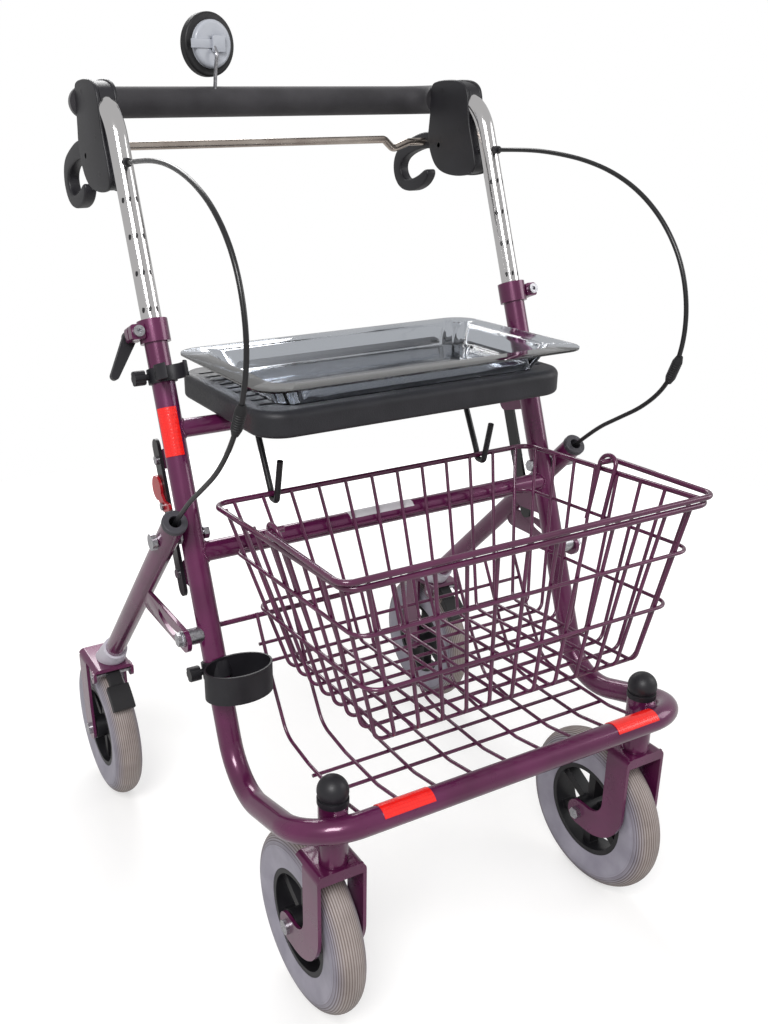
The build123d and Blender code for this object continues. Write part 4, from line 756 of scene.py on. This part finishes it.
def lathe(name, profile, centre, axis, material, steps=32):
    """A turned piece: profile is (along, radius) pairs, closed at both ends on the axis."""
    turn = Vector((0, 0, 1)).rotation_difference(Vector(axis).normalized()).to_matrix().to_4x4()
    place = Matrix.Translation(centre) @ turn
    work = bmesh.new()
    rings = []
    for along, radius in profile:
        if radius == 0:
            rings.append([work.verts.new(place @ Vector((0, 0, along)))])
        else:
            rings.append([work.verts.new(place @ Vector((radius * cos(2 * pi * k / steps),
                                                         radius * sin(2 * pi * k / steps), along)))
                          for k in range(steps)])
    for lower, upper in zip(rings, rings[1:]):
        for k in range(steps):
            after = (k + 1) % steps
            corners = [lower[k % len(lower)], lower[after % len(lower)],
                       upper[after % len(upper)], upper[k % len(upper)]]
            work.faces.new(list(dict.fromkeys(corners)))
    bmesh.ops.recalc_face_normals(work, faces=work.faces)
    mesh = bpy.data.meshes.new(name)
    work.to_mesh(mesh)
    work.free()
    mesh.materials.append(material)
    mesh.shade_smooth()
    mesh.set_sharp_from_angle(angle=radians(40))
    piece = bpy.data.objects.new(name, mesh)
    bpy.context.scene.collection.objects.link(piece)
    return piece


# %% Cables and sleeves
SLEEVE_HALF = 17 * MM


def sleeve_profile():
    """A rubber sleeve: tapered ends and grooves moulded round its middle."""
    profile = [(-SLEEVE_HALF, 0), (-SLEEVE_HALF, 3.4 * MM), (-0.62 * SLEEVE_HALF, 5.3 * MM)]
    for number in range(-3, 4):
        at = number * 2.6 * MM
        profile += [(at - 0.9 * MM, 5.5 * MM), (at - 0.5 * MM, 4.9 * MM), (at + 0.5 * MM, 4.9 * MM),
                    (at + 0.9 * MM, 5.5 * MM)]
    return profile + [(0.62 * SLEEVE_HALF, 5.3 * MM), (SLEEVE_HALF, 3.4 * MM), (SLEEVE_HALF, 0)]


for side in SIDES:
    route = ROUTES[side]
    upper, upper_path, upper_length = cable_run(f"brake_cable_upper_{side}", route[:SPLIT + 1])
    lower, lower_path, lower_length = cable_run(f"brake_cable_lower_{side}", route[SPLIT:])
    split = Vector(route[SPLIT]) * MM
    along = Vector(route[SPLIT + 1]) - Vector(route[SPLIT - 1])
    sleeve = lathe(f"cable_sleeve_{side}", sleeve_profile(), split, along, RUBBER)
    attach(sleeve, "frame")
    top, foot = Vector(route[0]) * MM, Vector(route[-1]) * MM
    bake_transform(upper, "frame", "handle", split + 0.04 * (top - split), split + 0.93 * (top - split))
    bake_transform(lower, "frame", f"rear_leg_{side}", split + 0.15 * (foot - split), split + 0.9 * (foot - split))
    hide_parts(f"brake_cable_{side}")
    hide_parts(f"brake_cable_{side}")
    print(side, "cable, mm:", round(upper_length / MM, 1), "+", round(lower_length / MM, 1))

# %% [markdown]
# ## Weld beads
# The tube joints on the frame are MIG welds: beads of overlapping scales that follow the line
# where one piece meets the other. They are made at the crossbars, the gussets and the caster
# stems. Round a crossbar the line is worked out from the two radii. Geometry Nodes lays a
# squashed ball on it every couple of millimetres, and the enamel goes over it.


# %% Bead tree
def bead_tree():
    tree, given = group("weld_bead", ("Pitch", "Float", 2.2 * MM), ("Bead", "Float", 2.2 * MM),
                        ("Material", "Material", None))
    points = add(tree, "GeometryNodeResampleCurve", {"Curve": given["Geometry"], "Length": given["Pitch"]},
                 mode="LENGTH")
    ball = add(tree, "GeometryNodeMeshIcoSphere", {"Radius": given["Bead"], "Subdivisions": 2})
    tangent = add(tree, "GeometryNodeInputTangent")
    aim = add(tree, "FunctionNodeAlignRotationToVector", {"Vector": tangent.outputs["Tangent"]}, axis="Z")
    scales = add(tree, "GeometryNodeInstanceOnPoints", {
        "Points": points.outputs["Curve"], "Instance": ball.outputs["Mesh"],
        "Rotation": aim.outputs["Rotation"], "Scale": (1.0, 1.0, 0.7)})
    real = add(tree, "GeometryNodeRealizeInstances", {"Geometry": scales.outputs["Instances"]})
    smooth = add(tree, "GeometryNodeSetShadeSmooth", {"Geometry": real.outputs["Geometry"]})
    shown = add(tree, "GeometryNodeSetMaterial", {"Geometry": smooth.outputs["Geometry"],
                                                  "Material": given["Material"]})
    add(tree, "NodeGroupOutput", {"Geometry": shown.outputs["Geometry"]})
    return tree


BEAD = bead_tree()


def saddle_line(z, bar_r, sign):
    """Where a crossbar of radius bar_r, level along X, meets a leaning leg."""
    line = []
    for step in range(40):
        angle = 2 * pi * step / 40
        dy, dz = bar_r * cos(angle), bar_r * sin(angle)
        off_axis = dy * cos(LEAN) - dz * sin(LEAN)
        x = LEG_X - sqrt(max(LEG_R ** 2 - off_axis ** 2, 0))
        line.append((sign * x, leg_y(z) + dy, z + dz))
    return line


def weld(name, line, body="frame", bead_mm=1.6, material=PLUM, closed=True):
    piece = grow(poly_curve(name + "_line", line, closed), BEAD, name,
                 {"Pitch": 1.9 * MM, "Bead": bead_mm * MM, "Material": material})
    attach(piece, body)
    return piece


CROSSBARS = {"upper": (592 * MM, 10 * MM), "lower": (466 * MM, 11 * MM)}
for side, sign in SIDES.items():
    for bar, (z, bar_r) in CROSSBARS.items():
        weld(f"{bar}_bar_weld_{side}", saddle_line(z, bar_r, sign))
GUSSETS = ((566 * MM, 26 * MM), (446 * MM, 44 * MM))
STEM_X, STEM_Y, STEM_Z, STEM_R = 200 * MM, -288 * MM, 273.5 * MM, 15 * MM
WEB_HALF_W, WEB_HALF_H = 6 * MM, 7 * MM
PLATE_HALF = 2 * MM


def along_leg(x, z, distance, up):
    """A point `distance` behind the leg's axis at z, then `up` along the leg."""
    y = leg_y(z) + distance * cos(LEAN) + up * sin(LEAN)
    return (x, y, z - distance * sin(LEAN) + up * cos(LEAN))


for side, sign in SIDES.items():
    for number, (z, height) in enumerate(GUSSETS):
        for edge in (-1, 1):
            x = sign * LEG_X + edge * PLATE_HALF
            where = "inner" if edge * sign < 0 else "outer"
            ends = [along_leg(x, z, LEG_R, up) for up in (-0.45 * height, 0.45 * height)]
            weld(f"gusset_{number}_weld_{where}_{side}", ends, closed=False)
    for edge in (-1, 1):
        x = sign * STEM_X + edge * WEB_HALF_W
        y = STEM_Y - sqrt(STEM_R ** 2 - WEB_HALF_W ** 2)
        where = "inner" if edge * sign < 0 else "outer"
        ends = [(x, y, STEM_Z + up) for up in (-WEB_HALF_H, WEB_HALF_H)]
        weld(f"stem_weld_{where}_{side}", ends, closed=False)

# %% [markdown]
# ## Height holes on the handle
# Each chromed upright carries rows of small holes, about 36 mm apart, so that both sides can be
# set to the same height. Each hole is drawn as a flat black disc: painted shade for the dark
# inside of the hole. A row is three discs round the front of the tube. The tree puts one
# flattened bead on every point of a mesh of loose points.


# %% Painted shade in the height holes
def hole_shade_tree():
    tree, given = group("black_hole_shade_discs", ("Size", "Float", 1.0 * MM), ("Turn", "Vector", None),
                        ("Material", "Material", None))
    bead = add(tree, "GeometryNodeMeshUVSphere", {"Segments": 12, "Rings": 6, "Radius": given["Size"]})
    laid = add(tree, "GeometryNodeInstanceOnPoints", {
        "Points": given["Geometry"], "Instance": bead.outputs["Mesh"], "Rotation": given["Turn"],
        "Scale": (1.0, 0.2, 2.6)})
    real = add(tree, "GeometryNodeRealizeInstances", {"Geometry": laid.outputs["Instances"]})
    smooth = add(tree, "GeometryNodeSetShadeSmooth", {"Geometry": real.outputs["Geometry"]})
    shown = add(tree, "GeometryNodeSetMaterial", {"Geometry": smooth.outputs["Geometry"],
                                                  "Material": given["Material"]})
    add(tree, "NodeGroupOutput", {"Geometry": shown.outputs["Geometry"]})
    return tree


HOLE_SHADE_TREE = hole_shade_tree()
MARK_ROWS = [(716 + 36 * row) * MM for row in range(4)]
MARK_ANGLES = [radians(angle) for angle in (-52, -14, 24)]
MARK_SINK = 0.33 * MM        # leaves 0.07 mm proud, which still grazes the leg with the handle right down
# Black lacquer discs paint the shade inside each height hole.
for side, sign in SIDES.items():
    for column, angle in enumerate(MARK_ANGLES):
        reach = HANDLE_R - MARK_SINK
        points = [(sign * LEG_X + reach * sin(angle), leg_y(z) - reach * cos(angle) / cos(LEAN), z)
                  for z in MARK_ROWS]
        dots = bpy.data.meshes.new("mark_points")
        dots.from_pydata(points, [], [])
        holder = bpy.data.objects.new("mark_points", dots)
        bpy.context.scene.collection.objects.link(holder)
        marks = grow(holder, HOLE_SHADE_TREE, f"painted_hole_shade_{column}_{side}",
                     {"Size": 2.0 * MM, "Turn": (-LEAN, 0.0, angle), "Material": BLACK_LACQUER})
        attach(marks, "handle")
print("height marks", 2 * len(MARK_ANGLES) * len(MARK_ROWS))

# %% [markdown]
# ## Housing screws
# Three screws hold each pair of cheeks together, and a head shows on either side. Each is a
# small turned piece: a dark rim where the head sits in its recess, and a domed head.

# %% Housing screws
SCREWS = from_bend((65.5, 10), (27.5, -36), (23.5, -74))
HEAD = [(along * MM, radius * MM) for along, radius in (
    (-2.0, 0), (-2.0, 2.9), (0.15, 2.9), (0.15, 2.1), (-0.5, 1.9), (-0.1, 1.4), (0.05, 0.7), (-0.4, 0.6),
    (-0.4, 0))]
for side, sign in SIDES.items():
    for end in (-1, 1):
        for number, (y, z) in enumerate(SCREWS):
            where = "outer" if end == sign else "inner"
            centre = (sign * LEG_X + end * HOUSING_HALF, y, z)
            name = f"housing_screw_{where}_{number}_{side}"
            screw = lathe(name, HEAD, centre, (end, 0, 0), BLACK_LACQUER, 20)
            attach(screw, "handle")
print("housing screws", 4 * len(SCREWS))

# %% [markdown]
# ## Studio
# A plain pale floor and soft light from large panels, with a bright surround. Floor and
# surround both tell the camera's own rays from the others: the floor's glow is seen but lights
# nothing, and the surround shows white but gives half that light. The camera stands a little
# below the handles, in front of the frame and to its right.

# %% Floor, light and camera
FLOOR_R = 1.7


def floor():
    """A round pale floor whose edge fades into the white surround."""
    work = bmesh.new()
    bmesh.ops.create_circle(work, cap_ends=True, segments=96, radius=FLOOR_R)
    mesh = bpy.data.meshes.new("floor")
    work.to_mesh(mesh)
    work.free()
    plane = bpy.data.objects.new("floor", mesh)
    plane.location.z = -0.3 * MM
    material, tree, shader, place = new_material("pale_floor", {
        "Base Color": srgb("C4C3C2"), "Roughness": 0.8, "Emission Color": srgb("FFFFFF")})
    middle = add(tree, "ShaderNodeVectorMath", {0: place}, operation="LENGTH").outputs["Value"]
    glow = add(tree, "ShaderNodeMapRange", {"Value": middle, "From Min": 0.5, "From Max": FLOOR_R - 0.1,
                                            "To Min": 0.5, "To Max": 1.0})
    seen = add(tree, "ShaderNodeLightPath").outputs["Is Camera Ray"]
    shown = add(tree, "ShaderNodeMath", {0: glow.outputs["Result"], 1: seen}, operation="MULTIPLY")
    tree.links.new(shown.outputs["Value"], shader.inputs["Emission Strength"])
    mesh.materials.append(material)
    bpy.context.scene.collection.objects.link(plane)


def panel(name, place, aim, size, watts):
    light = bpy.data.lights.new(name, "AREA")
    light.size, light.energy, light.shape = size, watts, "SQUARE"
    lamp = bpy.data.objects.new(name, light)
    lamp.location = place
    lamp.rotation_euler = (Vector(aim) - Vector(place)).to_track_quat("-Z", "Y").to_euler()
    bpy.context.scene.collection.objects.link(lamp)


def bright_surround(strength_seen, strength_lighting):
    """A world that shows white but lights the object more gently."""
    world = bpy.data.worlds.new("studio")
    world.use_nodes = True
    tree = world.node_tree
    backdrop = tree.nodes["Background"]
    backdrop.inputs["Color"].default_value = srgb("FFFFFF")
    seen = add(tree, "ShaderNodeLightPath").outputs["Is Camera Ray"]
    strength = add(tree, "ShaderNodeMapRange", {"Value": seen, "To Min": strength_lighting,
                                                "To Max": strength_seen})
    tree.links.new(strength.outputs["Result"], backdrop.inputs["Strength"])
    bpy.context.scene.world = world


floor()
panel("key_panel", (-1.6, -1.8, 2.6), (0, 0, 0.5), 1.2, 62)
panel("fill_panel", (2.4, -1.2, 1.6), (0, 0, 0.5), 1.4, 16)
panel("rim_panel", (0.6, 2.6, 2.4), (0, 0, 0.6), 1.5, 40)
bright_surround(1.0, 0.5)
bpy.context.scene.view_settings.view_transform = "Standard"

CAMERA_PLACE = Vector((-593.8, -999.0, 893.5)) * MM
CAMERA_TURN, CAMERA_DOWN, CAMERA_ROLL = radians(-27.2), radians(21.53), radians(-1.05)
forward = Vector((-sin(CAMERA_TURN) * cos(CAMERA_DOWN), cos(CAMERA_TURN) * cos(CAMERA_DOWN),
                  -sin(CAMERA_DOWN)))
level = Vector((cos(CAMERA_TURN), sin(CAMERA_TURN), 0))
upward = level.cross(forward)
right = cos(CAMERA_ROLL) * level + sin(CAMERA_ROLL) * upward
upward = right.cross(forward)
camera_data = bpy.data.cameras.new("camera")
camera_data.lens = 35.67
camera_data.sensor_width = 36
camera_data.shift_x, camera_data.shift_y = 0.0804, 0.0115
camera = bpy.data.objects.new("camera", camera_data)
turn = Matrix((right, upward, -forward)).transposed()
camera.matrix_world = Matrix.Translation(CAMERA_PLACE) @ turn.to_4x4()
bpy.context.scene.collection.objects.link(camera)
bpy.context.scene.camera = camera
